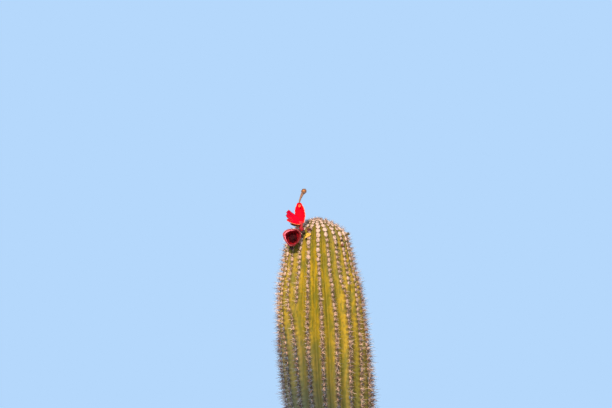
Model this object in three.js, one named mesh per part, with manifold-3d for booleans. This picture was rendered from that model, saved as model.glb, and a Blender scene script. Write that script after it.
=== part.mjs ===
// A saguaro cactus: one ribbed column that leans a little and carries two split fruits at its crown.
// Millimetres, +Z up. The origin is the middle of the flat cut at ground level, and the column's
// front looks along -Y. Angles round the column are measured from the front, towards +X.

import * as THREE from "three";
import { mergeVertices } from "three/addons/utils/BufferGeometryUtils.js";
import Module from "manifold-3d";

const wasm = await Module();
wasm.setup();

// Column
const STEM_HEIGHT = 2350; // ground to growing tip
const STEM_RADIUS = 148; // over the rib crests, where the column is stoutest
const TIP_ROUNDING = 128; // the depth in which the tip swells to most of its girth
const LEAN = 136; // how far the tip stands to the left of the foot
const FLARE = 16; // how far the foot widens at the ground
const FLARE_REACH = 38;

// Slow changes of girth, each a swelling (+) or a waist (-) at a depth below the tip
const GIRTH_WAVES = [
  { depth: 48, size: 10, reach: 28 },
  { depth: 160, size: -7, reach: 45 },
  { depth: 680, size: -10, reach: 90 },
  { depth: 1420, size: -8, reach: 130 },
  { depth: 2230, size: -20, reach: 260 },
];

// Ribs: strands are the ribs counted at the tip, strand 0 at the front. Below a fork, a strand and
// the next one share a single rib.
const STRANDS = 22;
const FORKS = [
  { strand: 2, depth: 255 },
  { strand: 8, depth: 255 },
  { strand: 13, depth: 330 },
  { strand: 19, depth: 330 },
  { strand: 5, depth: 1080 },
  { strand: 10, depth: 1080 },
  { strand: 16, depth: 1080 },
];
const FORK_ARM = 50; // height in which the two arms of a fork part
const FORK_REACH = 110; // how far above and below a fork the ribs give way to each other
const RIB_DEPTH = 17;
const RIB_SHARPNESS = 1.6; // power of the rib's flank: 1 is a plain V, 2 is round
const TWIST = { degrees: -6, from: 250, to: 700 }; // a slow turn, between two depths
const CROWDING = { share: 0.12, from: 330, to: 560 }; // ribs close up at the front, likewise
const FOOT_SMOOTHING = 350; // height below which the ribs fade into the corky foot
const FOOT_RIB_SHARE = 0.45; // of the rib's depth that is left at the ground
const COLUMNS_PER_STRAND = 4;
const RING_STEP = 170;
const DOME_RINGS = 8;
const DOME_DEPTH = 200;

// Rows of spines
const CLEARANCE = 0.4; // between pieces that touch on the plant
const ROW_HALF_WIDTH = 4;
const ROW_HEIGHT = 5;
const PITCH_AT_TIP = 26;
const PITCH_BELOW = 105;
const REACH_AT_TIP = 12;
const REACH_BELOW = 22;
const SLOW_DEPTH = 450; // depth at which pitch and reach have their full size
const SIDE_SHARE = 0.5; // of the reach, how far a cluster spreads to each side
const SIDE_LIFT = 0.12; // of the reach, how high its sides start
const ROOM_SHARE = 0.4; // of the way to the next rib, which a row keeps to
const ROW_START_RADIUS = 54;
const WOOL_RADIUS = 44;
const WOOL_LIFT = 1.5; // over the dome's own curve

// Fruit, each on the areole of a strand at a depth below the tip
const SPLIT_FRUIT_SEAT = { strand: 20, depth: 45 };
const OPEN_FRUIT_SEAT = { strand: 19, depth: 72 };
const SCAR_SEATS = [
  { name: "fruit_scar_front", strand: 21, depth: 60, width: 8, height: 4.5, colour: 0xc98a1c },
  { name: "dried_scar_left", strand: 21, depth: 42, width: 4.5, height: 8, colour: 0x4a1d14 },
  { name: "dried_scar_right", strand: 3, depth: 74, width: 4.5, height: 6, colour: 0x4d2417 },
  { name: "dried_bud_right", strand: 4, depth: 54, width: 4, height: 17, colour: 0x6b5a2c },
];
const SEAT_HEIGHT = ROW_HEIGHT + 2 * CLEARANCE; // above the rib's crest, just over its spines
const NO_SPINES_NEAR_SEAT = 22;

const radians = THREE.MathUtils.degToRad;
const smooth = (x) => THREE.MathUtils.smoothstep(x, 0, 1);
const lerp = THREE.MathUtils.lerp;

// Column: girth, lean and ribs

function axisX(z) {
  const t = z / STEM_HEIGHT;
  return -LEAN * t ** 3 * (4 - 3 * t);
}

function girth(z) {
  const depth = STEM_HEIGHT - z;
  const swell = STEM_RADIUS * Math.sqrt(1 - Math.exp(-depth / TIP_ROUNDING));
  const waves = GIRTH_WAVES.reduce(
    (sum, w) => sum + w.size * Math.exp(-(((depth - w.depth) / w.reach) ** 2)),
    0,
  );
  const fade = smooth(depth / 30);
  return swell + waves * fade + FLARE * Math.exp(-z / FLARE_REACH);
}

function ribDepth(z) {
  const foot = lerp(FOOT_RIB_SHARE, 1, smooth(z / FOOT_SMOOTHING));
  return RIB_DEPTH * foot * (girth(z) / STEM_RADIUS);
}

const forkHeight = (fork) => STEM_HEIGHT - fork.depth;

// How far a slow change that runs between two depths has gone at a height, from 0 to 1.
function between(z, { from, to }) {
  return smooth((STEM_HEIGHT - z - from) / (to - from));
}

const forkOf = new Map(
  FORKS.flatMap((fork) => [
    [fork.strand, fork],
    [fork.strand + 1, fork],
  ]),
);

// The edges of each strand's share of the girth at a height, its crest, and how open its fork is.
function strandsAt(z) {
  const shares = [];
  for (let k = 0; k < STRANDS; k++) {
    const fork = forkOf.get(k);
    shares.push(
      fork ? 0.5 + 0.5 * smooth((z - forkHeight(fork) + FORK_REACH) / (2 * FORK_REACH)) : 1,
    );
  }
  const unit = (2 * Math.PI) / shares.reduce((a, b) => a + b);
  const twist = radians(TWIST.degrees * between(z, TWIST));
  const crowding = CROWDING.share * between(z, CROWDING);
  const place = (angle) => angle + twist - crowding * Math.sin(angle);
  let edge = (-shares[0] * unit) / 2;
  const strands = shares.map((share) => {
    const low = place(edge);
    edge += share * unit;
    const high = place(edge);
    return { low, high, crest: (low + high) / 2, open: 1, fork: null };
  });
  for (const fork of FORKS) {
    const [left, right] = [strands[fork.strand], strands[fork.strand + 1]];
    const rise = THREE.MathUtils.clamp((z - forkHeight(fork)) / FORK_ARM, 0, 1);
    const open = Math.sin((rise * Math.PI) / 2);
    const middle = left.high;
    left.crest = lerp(middle, left.crest, open);
    right.crest = lerp(middle, right.crest, open);
    left.open = right.open = open;
    left.fork = right.fork = { left, right, middle };
  }
  return strands;
}

// How far the skin lies under the crests, at an angle inside a strand's share.
function relief(strand, angle, depth) {
  if (!strand.fork) {
    const half = (strand.high - strand.low) / 2;
    return depth * Math.abs((angle - strand.crest) / half) ** RIB_SHARPNESS;
  }
  const { left, right } = strand.fork;
  if (angle <= left.crest)
    return depth * ((left.crest - angle) / (left.crest - left.low)) ** RIB_SHARPNESS;
  if (angle >= right.crest)
    return depth * ((angle - right.crest) / (right.high - right.crest)) ** RIB_SHARPNESS;
  const half = (right.crest - left.crest) / 2;
  const off = Math.abs(angle - (left.crest + right.crest) / 2) / half;
  return depth * strand.open * (1 - off) ** RIB_SHARPNESS;
}

function stemPoint(angle, radius, z) {
  return new THREE.Vector3(
    axisX(z) + radius * Math.sin(angle),
    -radius * Math.cos(angle),
    z,
  );
}

// One ring of the column's skin. The columns follow each crest, except under a closed fork.
function stemRing(z) {
  const ring = [];
  const depth = ribDepth(z);
  const radius = girth(z);
  for (const strand of strandsAt(z)) {
    for (let j = 0; j < COLUMNS_PER_STRAND; j++) {
      const u = j / COLUMNS_PER_STRAND;
      const even = lerp(strand.low, strand.high, u);
      const kept =
        u < 0.5
          ? lerp(strand.low, strand.crest, 2 * u)
          : lerp(strand.crest, strand.high, 2 * u - 1);
      const angle = lerp(even, kept, strand.open);
      ring.push(stemPoint(angle, radius - relief(strand, angle, depth), z));
    }
  }
  return ring;
}

// Heights of the skin's rings: the foot's flare, the forks, the dome, and even steps elsewhere.
function ringHeights() {
  const shoulder = STEM_HEIGHT - DOME_DEPTH;
  const heights = [0, FLARE_REACH, 3 * FLARE_REACH, shoulder];
  for (const height of new Set(FORKS.map(forkHeight))) heights.push(height, height + FORK_ARM);
  for (let i = 1; i <= DOME_RINGS; i++) {
    const turn = (i / (DOME_RINGS + 1)) * (Math.PI / 2);
    heights.push(shoulder + DOME_DEPTH * Math.sin(turn) ** 1.35);
  }
  for (let z = 2 * RING_STEP; z < shoulder; z += RING_STEP)
    if (heights.every((other) => Math.abs(other - z) > RING_STEP / 3)) heights.push(z);
  return heights.sort((a, b) => a - b);
}

const RING_HEIGHTS = ringHeights();

// Closed shapes made of rings

// A closed body through rings of equally many points, with its ends closed to their middles, or to
// a point where the end ring holds a single one.
function skinOf(rings) {
  const positions = [];
  const index = [];
  const starts = [];
  for (const ring of rings) {
    starts.push(positions.length / 3);
    for (const p of ring) positions.push(p.x, p.y, p.z);
  }
  const count = Math.max(...rings.map((ring) => ring.length));
  const face = (a, b, c) => index.push(a, b, c);
  for (let i = 0; i + 1 < rings.length; i++) {
    const [low, high] = [starts[i], starts[i + 1]];
    for (let j = 0; j < count; j++) {
      const next = (j + 1) % count;
      if (rings[i].length === 1) face(low, high + next, high + j);
      else if (rings[i + 1].length === 1) face(low + j, low + next, high);
      else {
        face(low + j, low + next, high + next);
        face(low + j, high + next, high + j);
      }
    }
  }
  const close = (ring, start, turned) => {
    if (ring.length === 1) return;
    const middle = ring
      .reduce((sum, p) => sum.add(p), new THREE.Vector3())
      .divideScalar(ring.length);
    const centre = positions.length / 3;
    positions.push(middle.x, middle.y, middle.z);
    for (let j = 0; j < count; j++) {
      const next = (j + 1) % count;
      if (turned) face(centre, start + next, start + j);
      else face(centre, start + j, start + next);
    }
  };
  close(rings[0], starts[0], true);
  close(rings[rings.length - 1], starts[rings.length - 1], false);
  const geometry = new THREE.BufferGeometry();
  geometry.setAttribute("position", new THREE.Float32BufferAttribute(positions, 3));
  geometry.setIndex(index);
  return geometry;
}

function toSolid(geometry) {
  const plain = new THREE.BufferGeometry();
  plain.setAttribute("position", geometry.getAttribute("position"));
  plain.setIndex(geometry.index);
  const merged = mergeVertices(plain, 1e-3);
  return new wasm.Manifold(
    new wasm.Mesh({
      numProp: 3,
      vertProperties: new Float32Array(merged.attributes.position.array),
      triVerts: new Uint32Array(merged.index.array),
    }),
  );
}

function toGeometry(solid) {
  const { vertProperties, triVerts } = solid.getMesh();
  const geometry = new THREE.BufferGeometry();
  geometry.setAttribute("position", new THREE.BufferAttribute(vertProperties, 3));
  geometry.setIndex(new THREE.BufferAttribute(triVerts, 1));
  return geometry;
}

function fuse(geometries) {
  return toGeometry(geometries.map(toSolid).reduce((a, b) => a.add(b)));
}

// The point on a strand's crest at a height, on the straight stretch between the skin's rings.
function crestPoint(k, z) {
  const above = RING_HEIGHTS.findIndex((height) => height >= z);
  const at = (height) => stemPoint(strandsAt(height)[k].crest, girth(height), height);
  if (above < 0) return at(z);
  if (above === 0) return at(RING_HEIGHTS[0]);
  const [low, high] = [RING_HEIGHTS[above - 1], RING_HEIGHTS[above]];
  return at(low).lerp(at(high), (z - low) / (high - low));
}

// A strand's crest at a height, with the directions along, across and out of the rib.
function crestFrame(k, z) {
  const step = 2;
  const along = crestPoint(k, z + step).sub(crestPoint(k, z - step)).normalize();
  const { crest } = strandsAt(z)[k];
  const out = new THREE.Vector3(Math.sin(crest), -Math.cos(crest), 0);
  out.addScaledVector(along, -out.dot(along)).normalize();
  const across = new THREE.Vector3().crossVectors(out, along);
  return { point: crestPoint(k, z), along, across, out };
}

// The distance from a strand's crest to the nearest crest beside it.
function roomBeside(k, z) {
  const strands = strandsAt(z);
  const gaps = [1, STRANDS - 1].flatMap((step) => {
    const other = strands[(k + step) % STRANDS];
    if (other.fork && other.fork === strands[k].fork && other.open === 0) return [];
    return Math.abs(Math.sin((other.crest - strands[k].crest) / 2)) * 2 * girth(z);
  });
  return Math.min(...gaps);
}

function offCrest(frame, across, out, along = 0) {
  return frame.point
    .clone()
    .addScaledVector(frame.across, across)
    .addScaledVector(frame.out, out)
    .addScaledVector(frame.along, along);
}

// Spines

const SEATS = [SPLIT_FRUIT_SEAT, OPEN_FRUIT_SEAT, ...SCAR_SEATS];

// The height of a strand's end: the ground, or the fork where it gives way to the one before it.
function strandFoot(k) {
  const fork = forkOf.get(k);
  return fork && fork.strand !== k ? forkHeight(fork) + 0.7 * FORK_ARM : 3;
}

// Heights of a strand's clusters of spines, from the crown down. One near a ring of the skin moves
// to it, so that the row follows the skin.
function areoleHeights(k) {
  const found = [];
  let z = STEM_HEIGHT;
  while (girth(z) < ROW_START_RADIUS) z -= 0.5;
  while (z > strandFoot(k) + ROW_HEIGHT) {
    const near = z;
    found.push(RING_HEIGHTS.find((height) => Math.abs(height - near) < ROW_HEIGHT) ?? z);
    const slope = (girth(z - 1) - girth(z + 1)) / 2;
    const share = smooth((STEM_HEIGHT - z) / SLOW_DEPTH);
    z -= lerp(PITCH_AT_TIP, PITCH_BELOW, share) / Math.hypot(1, slope);
  }
  return found;
}

// A row of spines: a low strip along the rib's crest, with a tooth for each cluster.
function spineRow(k) {
  const teeth = areoleHeights(k);
  const low = RING_HEIGHTS.filter((z) => z > strandFoot(k) && z < teeth[0]);
  teeth.forEach((z, i) => {
    const next = teeth[i + 1] ?? strandFoot(k);
    if (!low.some((height) => height < z && height > next)) low.push((z + next) / 2);
  });
  low.push(strandFoot(k));
  const onTooth = (z) => teeth.some((height) => Math.abs(height - z) < 1);
  const crossings = [
    ...teeth.map((z, i) => ({ z, tooth: i + 1 })),
    ...low.filter((z) => !onTooth(z)).map((z) => ({ z, tooth: 0 })),
  ].sort((a, b) => a.z - b.z);
  const rings = crossings.map(({ z, tooth }) => {
    const depth = STEM_HEIGHT - z;
    const bare = SEATS.some(
      (seat) => seat.strand === k && Math.abs(seat.depth - depth) < NO_SPINES_NEAR_SEAT,
    );
    const room = ROOM_SHARE * roomBeside(k, z);
    const frame = crestFrame(k, z);
    if (tooth === 0 || bare) {
      const wide = Math.min(ROW_HALF_WIDTH, room);
      return [
        offCrest(frame, wide, CLEARANCE),
        offCrest(frame, 0, CLEARANCE + ROW_HEIGHT),
        offCrest(frame, -wide, CLEARANCE),
      ];
    }
    const reach = lerp(REACH_AT_TIP, REACH_BELOW, smooth(depth / SLOW_DEPTH));
    const wide = Math.min(SIDE_SHARE * reach, room);
    const sway = ((tooth + k) % 3) - 1;
    return [
      offCrest(frame, wide, CLEARANCE + SIDE_LIFT * reach),
      offCrest(frame, sway * wide, CLEARANCE + reach),
      offCrest(frame, -wide, CLEARANCE + SIDE_LIFT * reach),
    ];
  });
  return skinOf(rings);
}

// The felt and young spines that cover the growing tip: a thin cap with two crests of teeth.
function crownWool() {
  const onDome = (radius, ...lifts) =>
    Array.from({ length: STRANDS }, (_, k) => {
      const z = domeHeight(radius) + lifts[k % lifts.length];
      return stemPoint((k / STRANDS) * 2 * Math.PI, radius, z);
    });
  return skinOf([
    [stemPoint(0, 0, STEM_HEIGHT + WOOL_LIFT)],
    onDome(WOOL_RADIUS / 2, WOOL_LIFT),
    onDome(WOOL_RADIUS, WOOL_LIFT),
    onDome(WOOL_RADIUS - 2, 6, 12),
    onDome(WOOL_RADIUS - 12, 7, 4),
    onDome(WOOL_RADIUS / 2, 6, 12),
    onDome(WOOL_RADIUS / 4, 8, 4),
    [stemPoint(0, 0, STEM_HEIGHT + 6)],
  ]);
}

// The height at which the dome has a radius.
function domeHeight(radius) {
  let z = STEM_HEIGHT;
  while (girth(z) < radius) z -= 0.25;
  return z;
}

// Fruit

// A round body along a line of points, with a radius at each.
function tube(points, radii, sides) {
  const curve = new THREE.CatmullRomCurve3(points);
  const rings = radii.map((radius, i) => {
    const t = i / (radii.length - 1);
    const centre = curve.getPointAt(t);
    const along = curve.getTangentAt(t);
    const right = new THREE.Vector3(0, 1, 0).cross(along).normalize();
    const up = new THREE.Vector3().crossVectors(along, right);
    if (radius === 0) return [centre];
    return Array.from({ length: sides }, (_, j) => {
      const turn = (j / sides) * 2 * Math.PI;
      return centre
        .clone()
        .addScaledVector(right, radius * Math.cos(turn))
        .addScaledVector(up, radius * Math.sin(turn));
    });
  });
  return skinOf(rings);
}

const TUBE_SIDES = 8;

// The split fruit: a neck rises from the rib to a fork, where the torn valves of the husk start.
// Each valve's points are measured from the fork.
const NECK_RISE = new THREE.Vector3(-6, -12, 25);
const NECK_RADII = [5, 6, 6.5, 7, 0];
const VALVE_THICKNESS = 3.4;
const VALVE_RINGS = 7;
const VALVE_STEPS = 6;
const VALVE_ROOT_SHARE = 0.2; // of the width, at the ends of a valve
const INNER_SHARE = 0.93; // of the outer face's width, for the inner face
const UPRIGHT_VALVE = {
  root: [2, 0, -2],
  bend: [-2, 4, 32],
  tip: [-4, -5, 65],
  width: 35,
  hollow: 0.5,
  opens: [-0.3, -1, 0.1],
};
const SIDE_VALVES = [
  {
    root: [0, 0, -2],
    bend: [-18, -10, 9],
    tip: [-44, -14, 38],
    width: 20,
    hollow: 0.35,
    opens: [0.3, -0.95, 0.3],
  },
  {
    root: [0, -2, -2],
    bend: [-20, -15, 4],
    tip: [-47, -19, 26],
    width: 22,
    hollow: 0.35,
    opens: [0.25, -0.9, 0.4],
  },
  {
    root: [1, -2, -1],
    bend: [-18, -17, 0],
    tip: [-45, -24, 7],
    width: 23,
    hollow: 0.4,
    opens: [0.15, -0.75, 0.7],
  },
];

// One valve of a split husk: a hollowed blade from its root to its tip, open towards a direction.
function valve(origin, shape) {
  const { width, hollow } = shape;
  const from = (point) => origin.clone().add(new THREE.Vector3(...point));
  const opens = new THREE.Vector3(...shape.opens);
  const curve = new THREE.QuadraticBezierCurve3(from(shape.root), from(shape.bend), from(shape.tip));
  const rings = [];
  for (let i = 0; i <= VALVE_RINGS; i++) {
    const s = i / VALVE_RINGS;
    const centre = curve.getPointAt(s);
    const along = curve.getTangentAt(s);
    const inward = opens.clone().addScaledVector(along, -opens.dot(along)).normalize();
    const across = new THREE.Vector3().crossVectors(inward, along).normalize();
    const swell = Math.sin(Math.PI * (0.12 + 0.85 * s)) ** 0.8;
    const half = (width / 2) * lerp(VALVE_ROOT_SHARE, 1, swell);
    const lip = (t, lift) =>
      centre
        .clone()
        .addScaledVector(across, half * t)
        .addScaledVector(inward, hollow * half * (t * t - 1) + lift);
    const outer = [];
    const inner = [];
    for (let j = 0; j <= VALVE_STEPS; j++) {
      const t = (2 * j) / VALVE_STEPS - 1;
      outer.push(lip(t, 0));
      inner.unshift(lip(t * INNER_SHARE, VALVE_THICKNESS));
    }
    rings.push([...outer, ...inner]);
  }
  return skinOf(rings);
}

function seatFrame({ strand, depth }) {
  return crestFrame(strand, STEM_HEIGHT - depth);
}

// A ripe fruit that has split, red inside, with one valve upright and three torn ones to the left.
function splitFruit() {
  const seat = seatFrame(SPLIT_FRUIT_SEAT);
  const root = offCrest(seat, 0, SEAT_HEIGHT);
  const start = offCrest(seat, 0, SEAT_HEIGHT + 6);
  const fork = root.clone().add(NECK_RISE);
  const end = fork.clone().add(new THREE.Vector3(0, 0, 4));
  const neck = tube([root, start, end], NECK_RADII, TUBE_SIDES);
  return fuse([neck, ...[UPRIGHT_VALVE, ...SIDE_VALVES].map((shape) => valve(fork, shape))]);
}

// The dried flower on the upright valve's tip: a thin tube that ends in a shrivelled knob.
const FLOWER_BASE = new THREE.Vector3(0.3, 0, 3.4); // from the valve's tip
const FLOWER_RISE = new THREE.Vector3(15, 2, 41); // from its base to the top of its knob
const FLOWER_BEND = new THREE.Vector3(-1, 0, -1);
const FLOWER_RADII = [1.8, 2, 2.4, 3.2, 4.6, 8, 7.6, 0];

function driedFlower() {
  const fork = offCrest(seatFrame(SPLIT_FRUIT_SEAT), 0, SEAT_HEIGHT).add(NECK_RISE);
  const base = fork.add(new THREE.Vector3(...UPRIGHT_VALVE.tip)).add(FLOWER_BASE);
  const knob = base.clone().add(FLOWER_RISE);
  const middle = base.clone().lerp(knob, 0.5).add(FLOWER_BEND);
  return tube([base, middle, knob], FLOWER_RADII, TUBE_SIDES);
}

// The open fruit, a cup from its foot on the rib to its mouth
const CUP_SIDES = 16;
const CUP_LENGTH = 46;
const CUP_AIM = new THREE.Vector3(-0.12, -0.97, 0.16).normalize();
const CUP_PROFILE = [
  // share of the length, outer radius, inner radius
  { at: 0, outer: 6, inner: 0 },
  { at: 0.12, outer: 13, inner: 0 },
  { at: 0.4, outer: 23, inner: 17 },
  { at: 0.75, outer: 27.5, inner: 23 },
  { at: 1, outer: 29, inner: 24 },
];
const CUP_FLOOR = 0.25;

function cupFrame() {
  const seat = seatFrame(OPEN_FRUIT_SEAT);
  const root = offCrest(seat, 0, SEAT_HEIGHT);
  const right = new THREE.Vector3(0, 0, 1).cross(CUP_AIM).normalize();
  const up = new THREE.Vector3().crossVectors(CUP_AIM, right);
  return { root, right, up };
}

// A ring of the open fruit, drawn out to a point below and to two blunt corners above.
function cupRing(radius, at) {
  const { root, right, up } = cupFrame();
  const centre = root.clone().addScaledVector(CUP_AIM, at * CUP_LENGTH);
  const lobes = 0.1 * at;
  return Array.from({ length: CUP_SIDES }, (_, j) => {
    const turn = (j / CUP_SIDES) * 2 * Math.PI;
    const r = radius * (1 + lobes * Math.cos(3 * (turn + Math.PI / 2)));
    return centre
      .clone()
      .addScaledVector(right, r * Math.cos(turn))
      .addScaledVector(up, r * Math.sin(turn));
  });
}

// A ripe fruit that has opened at its end and been emptied: a cup with a thick red rim.
function openFruit() {
  const outside = CUP_PROFILE.map(({ at, outer }) => cupRing(outer, at));
  const inside = CUP_PROFILE.filter(({ inner }) => inner > 0)
    .reverse()
    .map(({ at, inner }) => cupRing(inner, at - (at === 1 ? 0.02 : 0)));
  const floor = cupRing(9, CUP_FLOOR);
  return skinOf([...outside, ...inside, floor]);
}

// What is left of the dark pulp, in the bottom of the open fruit.
function fruitPulp() {
  return skinOf([cupRing(8, 0.27), cupRing(13, 0.4), cupRing(11, 0.52), cupRing(5, 0.58)]);
}

function scar({ strand, depth, width, height }) {
  const frame = seatFrame({ strand, depth });
  const foot = offCrest(frame, 0, SEAT_HEIGHT);
  const middle = offCrest(frame, 0.1 * height, SEAT_HEIGHT + height / 2);
  const tip = offCrest(frame, 0, SEAT_HEIGHT + height);
  return tube([foot, middle, tip], [width * 0.7, width, width * 0.8, 0], 6);
}

// The assembly

const plant = new THREE.Group();

function add(name, geometry, color, roughness) {
  const material = new THREE.MeshStandardMaterial({ color, roughness, metalness: 0 });
  const shown = geometry.toNonIndexed();
  shown.computeVertexNormals();
  const mesh = new THREE.Mesh(shown, material);
  mesh.name = name;
  plant.add(mesh);
}

const tip = [stemPoint(0, 0, STEM_HEIGHT)];
add("trunk", skinOf([...RING_HEIGHTS.map(stemRing), tip]), 0x8f8a2e, 0.6);
for (let k = 0; k < STRANDS; k++)
  add(`spine_row_${String(k + 1).padStart(2, "0")}`, spineRow(k), 0xcfa987, 0.7);
add("crown_wool", crownWool(), 0xd8b694, 0.9);
add("split_fruit", splitFruit(), 0xd9121f, 0.4);
add("dried_flower", driedFlower(), 0x8a5638, 0.8);
add("open_fruit", openFruit(), 0xb0203a, 0.45);
add("fruit_pulp", fruitPulp(), 0x3a0a10, 0.35);
for (const seat of SCAR_SEATS) add(seat.name, scar(seat), seat.colour, 0.8);

export default plant;
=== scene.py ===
"""Saguaro cactus: the dressed plant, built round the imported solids. Metres, +Z up.

One ribbed column that leans a little, its rows of felted spine cushions, the woolly growing tip, a
split red husk that still carries its dried flower, an opened fruit under it, and a few dried scraps.
Angles round the column are measured from the front, which faces -Y, towards +X.
"""

import logging
import math
from collections.abc import Callable, Sequence
from dataclasses import dataclass, field
from enum import IntEnum
from typing import Protocol

import bpy
import numpy as np
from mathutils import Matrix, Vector, noise


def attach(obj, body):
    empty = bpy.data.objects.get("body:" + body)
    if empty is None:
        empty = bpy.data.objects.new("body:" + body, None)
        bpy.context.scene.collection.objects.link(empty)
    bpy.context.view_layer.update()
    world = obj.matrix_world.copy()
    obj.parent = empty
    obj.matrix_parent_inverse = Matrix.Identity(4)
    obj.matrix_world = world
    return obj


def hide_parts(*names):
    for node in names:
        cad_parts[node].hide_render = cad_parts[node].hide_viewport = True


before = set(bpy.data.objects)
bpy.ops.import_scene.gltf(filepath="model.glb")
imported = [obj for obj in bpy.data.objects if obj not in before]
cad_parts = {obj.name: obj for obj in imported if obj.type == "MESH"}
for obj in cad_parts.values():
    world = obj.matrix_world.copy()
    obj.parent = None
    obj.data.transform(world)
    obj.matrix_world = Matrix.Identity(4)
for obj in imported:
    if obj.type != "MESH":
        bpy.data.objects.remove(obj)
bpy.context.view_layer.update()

LOG = logging.getLogger("saguaro")
ROOT_BODY = "root"
FULL_TURN = 2 * math.pi
GOLDEN_ANGLE = math.pi * (3 - math.sqrt(5))
MILLIMETRES = 1000.0

Array = np.ndarray
Triple = tuple[float, float, float]
Colour = Triple
Numbers = tuple[float, ...]
Steps = tuple[Numbers, ...]
Material = bpy.types.Material
Mesh = bpy.types.Mesh
Piece = bpy.types.Object


class Zone(IntEnum):
    """The parts of a fruit's wall, which are dressed apart."""

    OUTSIDE = 0
    RIM = 1
    INSIDE = 2
    SCALE = 3


# Node trees


def sums(operation: str, vectors: str = "", swapped: bool = False, key: int | str = 1) -> Callable:
    """Makes a method of a wire that adds a node for a sum.

    Args:
        operation: what the node works out.
        vectors: "Vector" where it works on vectors.
        swapped: whether the other term comes first.
        key: the socket of the other term.

    Returns:
        The method.
    """

    def method(wire: "Wire", term: object = None) -> "Wire":
        """The sum as a wire."""
        inputs = {0: term, 1: wire} if swapped else {0: wire, key: term}
        return wire.bench.node(f"ShaderNode{vectors}Math", {"operation": operation}, inputs)

    return method


@dataclass(eq=False)
class Wire:
    """One output socket of a node tree, on which sums are written as Python expressions."""

    bench: "Bench"
    socket: bpy.types.NodeSocket

    def other(self, name: str) -> "Wire":
        """Another output of the same node."""
        return Wire(self.bench, self.socket.node.outputs[name])

    __add__ = __radd__ = sums("ADD")
    __sub__ = sums("SUBTRACT")
    __rsub__ = sums("SUBTRACT", swapped=True)
    __mul__ = __rmul__ = sums("MULTIPLY")
    __truediv__ = sums("DIVIDE")
    __pow__ = sums("POWER")
    __lt__ = sums("LESS_THAN")
    __gt__ = sums("GREATER_THAN")
    sine = sums("SINE")
    cosine = sums("COSINE")
    stretched = sums("SCALE", "Vector", key="Scale")
    plus = sums("ADD", "Vector")
    times = sums("MULTIPLY", "Vector")
    cross = sums("CROSS_PRODUCT", "Vector")

    def clamp(self) -> "Wire":
        """This, kept from zero to one."""
        return self.bench.node("ShaderNodeClamp", {}, {"Value": self})

    def ramp(self, low: float, high: float) -> "Wire":
        """A smooth step from zero at low to one at high, which may lie either way."""
        inputs = {0: self, 1: low, 2: high, 3: 0.0, 4: 1.0}
        return self.bench.node("ShaderNodeMapRange", {"interpolation_type": "SMOOTHSTEP"}, inputs)


@dataclass
class Bench:
    """A node tree with one method that makes every kind of node."""

    tree: bpy.types.NodeTree

    def node(
        self,
        kind: str,
        settings: dict[str, object] | None = None,
        inputs: dict[str | int, object] | None = None,
        output: int | str = 0,
    ) -> Wire:
        """Makes a node.

        Args:
            kind: the node's type.
            settings: its properties, which are set first.
            inputs: values or wires, by the socket's name or number.

        Returns:
            The wanted output as a wire.
        """
        made = self.tree.nodes.new(kind)
        for name, value in (settings or {}).items():
            setattr(made, name, value)
        for key, value in (inputs or {}).items():
            socket = made.inputs[key] if isinstance(key, int) else self._named(made.inputs, key)
            if isinstance(value, Wire):
                self.tree.links.new(value.socket, socket)
            elif value is not None:
                colour = socket.type == "RGBA" and len(value) == 3
                socket.default_value = (*value, 1.0) if colour else value
        if isinstance(output, str):
            return Wire(self, self._named(made.outputs, output))
        in_use = [socket for socket in made.outputs if socket.enabled]
        return Wire(self, in_use[output] if in_use else None)

    @staticmethod
    def _named(sockets: Sequence[bpy.types.NodeSocket], name: str) -> bpy.types.NodeSocket:
        """The socket in use that has a name."""
        return next(socket for socket in sockets if socket.name == name and socket.enabled)

    def blend(self, share: "Wire | float", first: object, second: object) -> Wire:
        """A mix of two colours, where a share of one is all the second."""
        return self.node("ShaderNodeMix", {"data_type": "RGBA"}, {0: share, 6: first, 7: second})

    def axes(self, place: Wire) -> tuple[Wire, Wire, Wire]:
        """The X, Y and Z of a place."""
        across = self.node("ShaderNodeSeparateXYZ", {}, {0: place}, "X")
        return across, across.other("Y"), across.other("Z")

    def carried(self, label: str) -> Wire:
        """A number that the mesh carries for each of its points."""
        return self.node("ShaderNodeAttribute", {"attribute_name": label}, {}, "Fac")

    def cells(self, place: Wire, scale: float, feature: str = "F1") -> Wire:
        """The distance to the nearest cell centre or edge over a place."""
        return self.node("ShaderNodeTexVoronoi", {"feature": feature}, {"Vector": place, "Scale": scale})

    def dent(self, height: Wire, depth: float, strength: float, before: Wire | None = None) -> Wire:
        """A normal that follows a height, on top of another normal if one is given."""
        inputs = {"Height": height, "Distance": depth, "Strength": strength, "Normal": before}
        return self.node("ShaderNodeBump", {}, inputs)


@dataclass(frozen=True)
class Grain:
    """Noise of a scale, a detail and a roughness, drawn finer along some axes by a stretch."""

    scale: float
    detail: float = 3.0
    rough: float = 0.55
    stretch: Triple | None = None

    def at(self, place: Wire) -> Wire:
        """The noise over a place, about one half on average."""
        stretched = place.times(self.stretch) if self.stretch else place
        inputs = {"Vector": stretched, "Scale": self.scale, "Detail": self.detail, "Roughness": self.rough}
        return place.bench.node("ShaderNodeTexNoise", {}, inputs)


@dataclass(frozen=True)
class Layer:
    """A tone that is laid over others, where a mask goes from low to high, and up to a share."""

    tone: Colour
    low: float
    high: float
    share: float = 1.0

    def over(self, under: Wire | Colour, mask: Wire) -> Wire:
        """What lies under, with this tone over it where the mask says."""
        return mask.bench.blend(mask.ramp(self.low, self.high) * self.share, under, self.tone)


class Finish(Protocol):
    """What can paint a surface."""

    def paint(self, bench: Bench, place: Wire) -> dict[str, object]:
        """The inputs of a Principled shader, from the object coordinates."""


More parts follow.
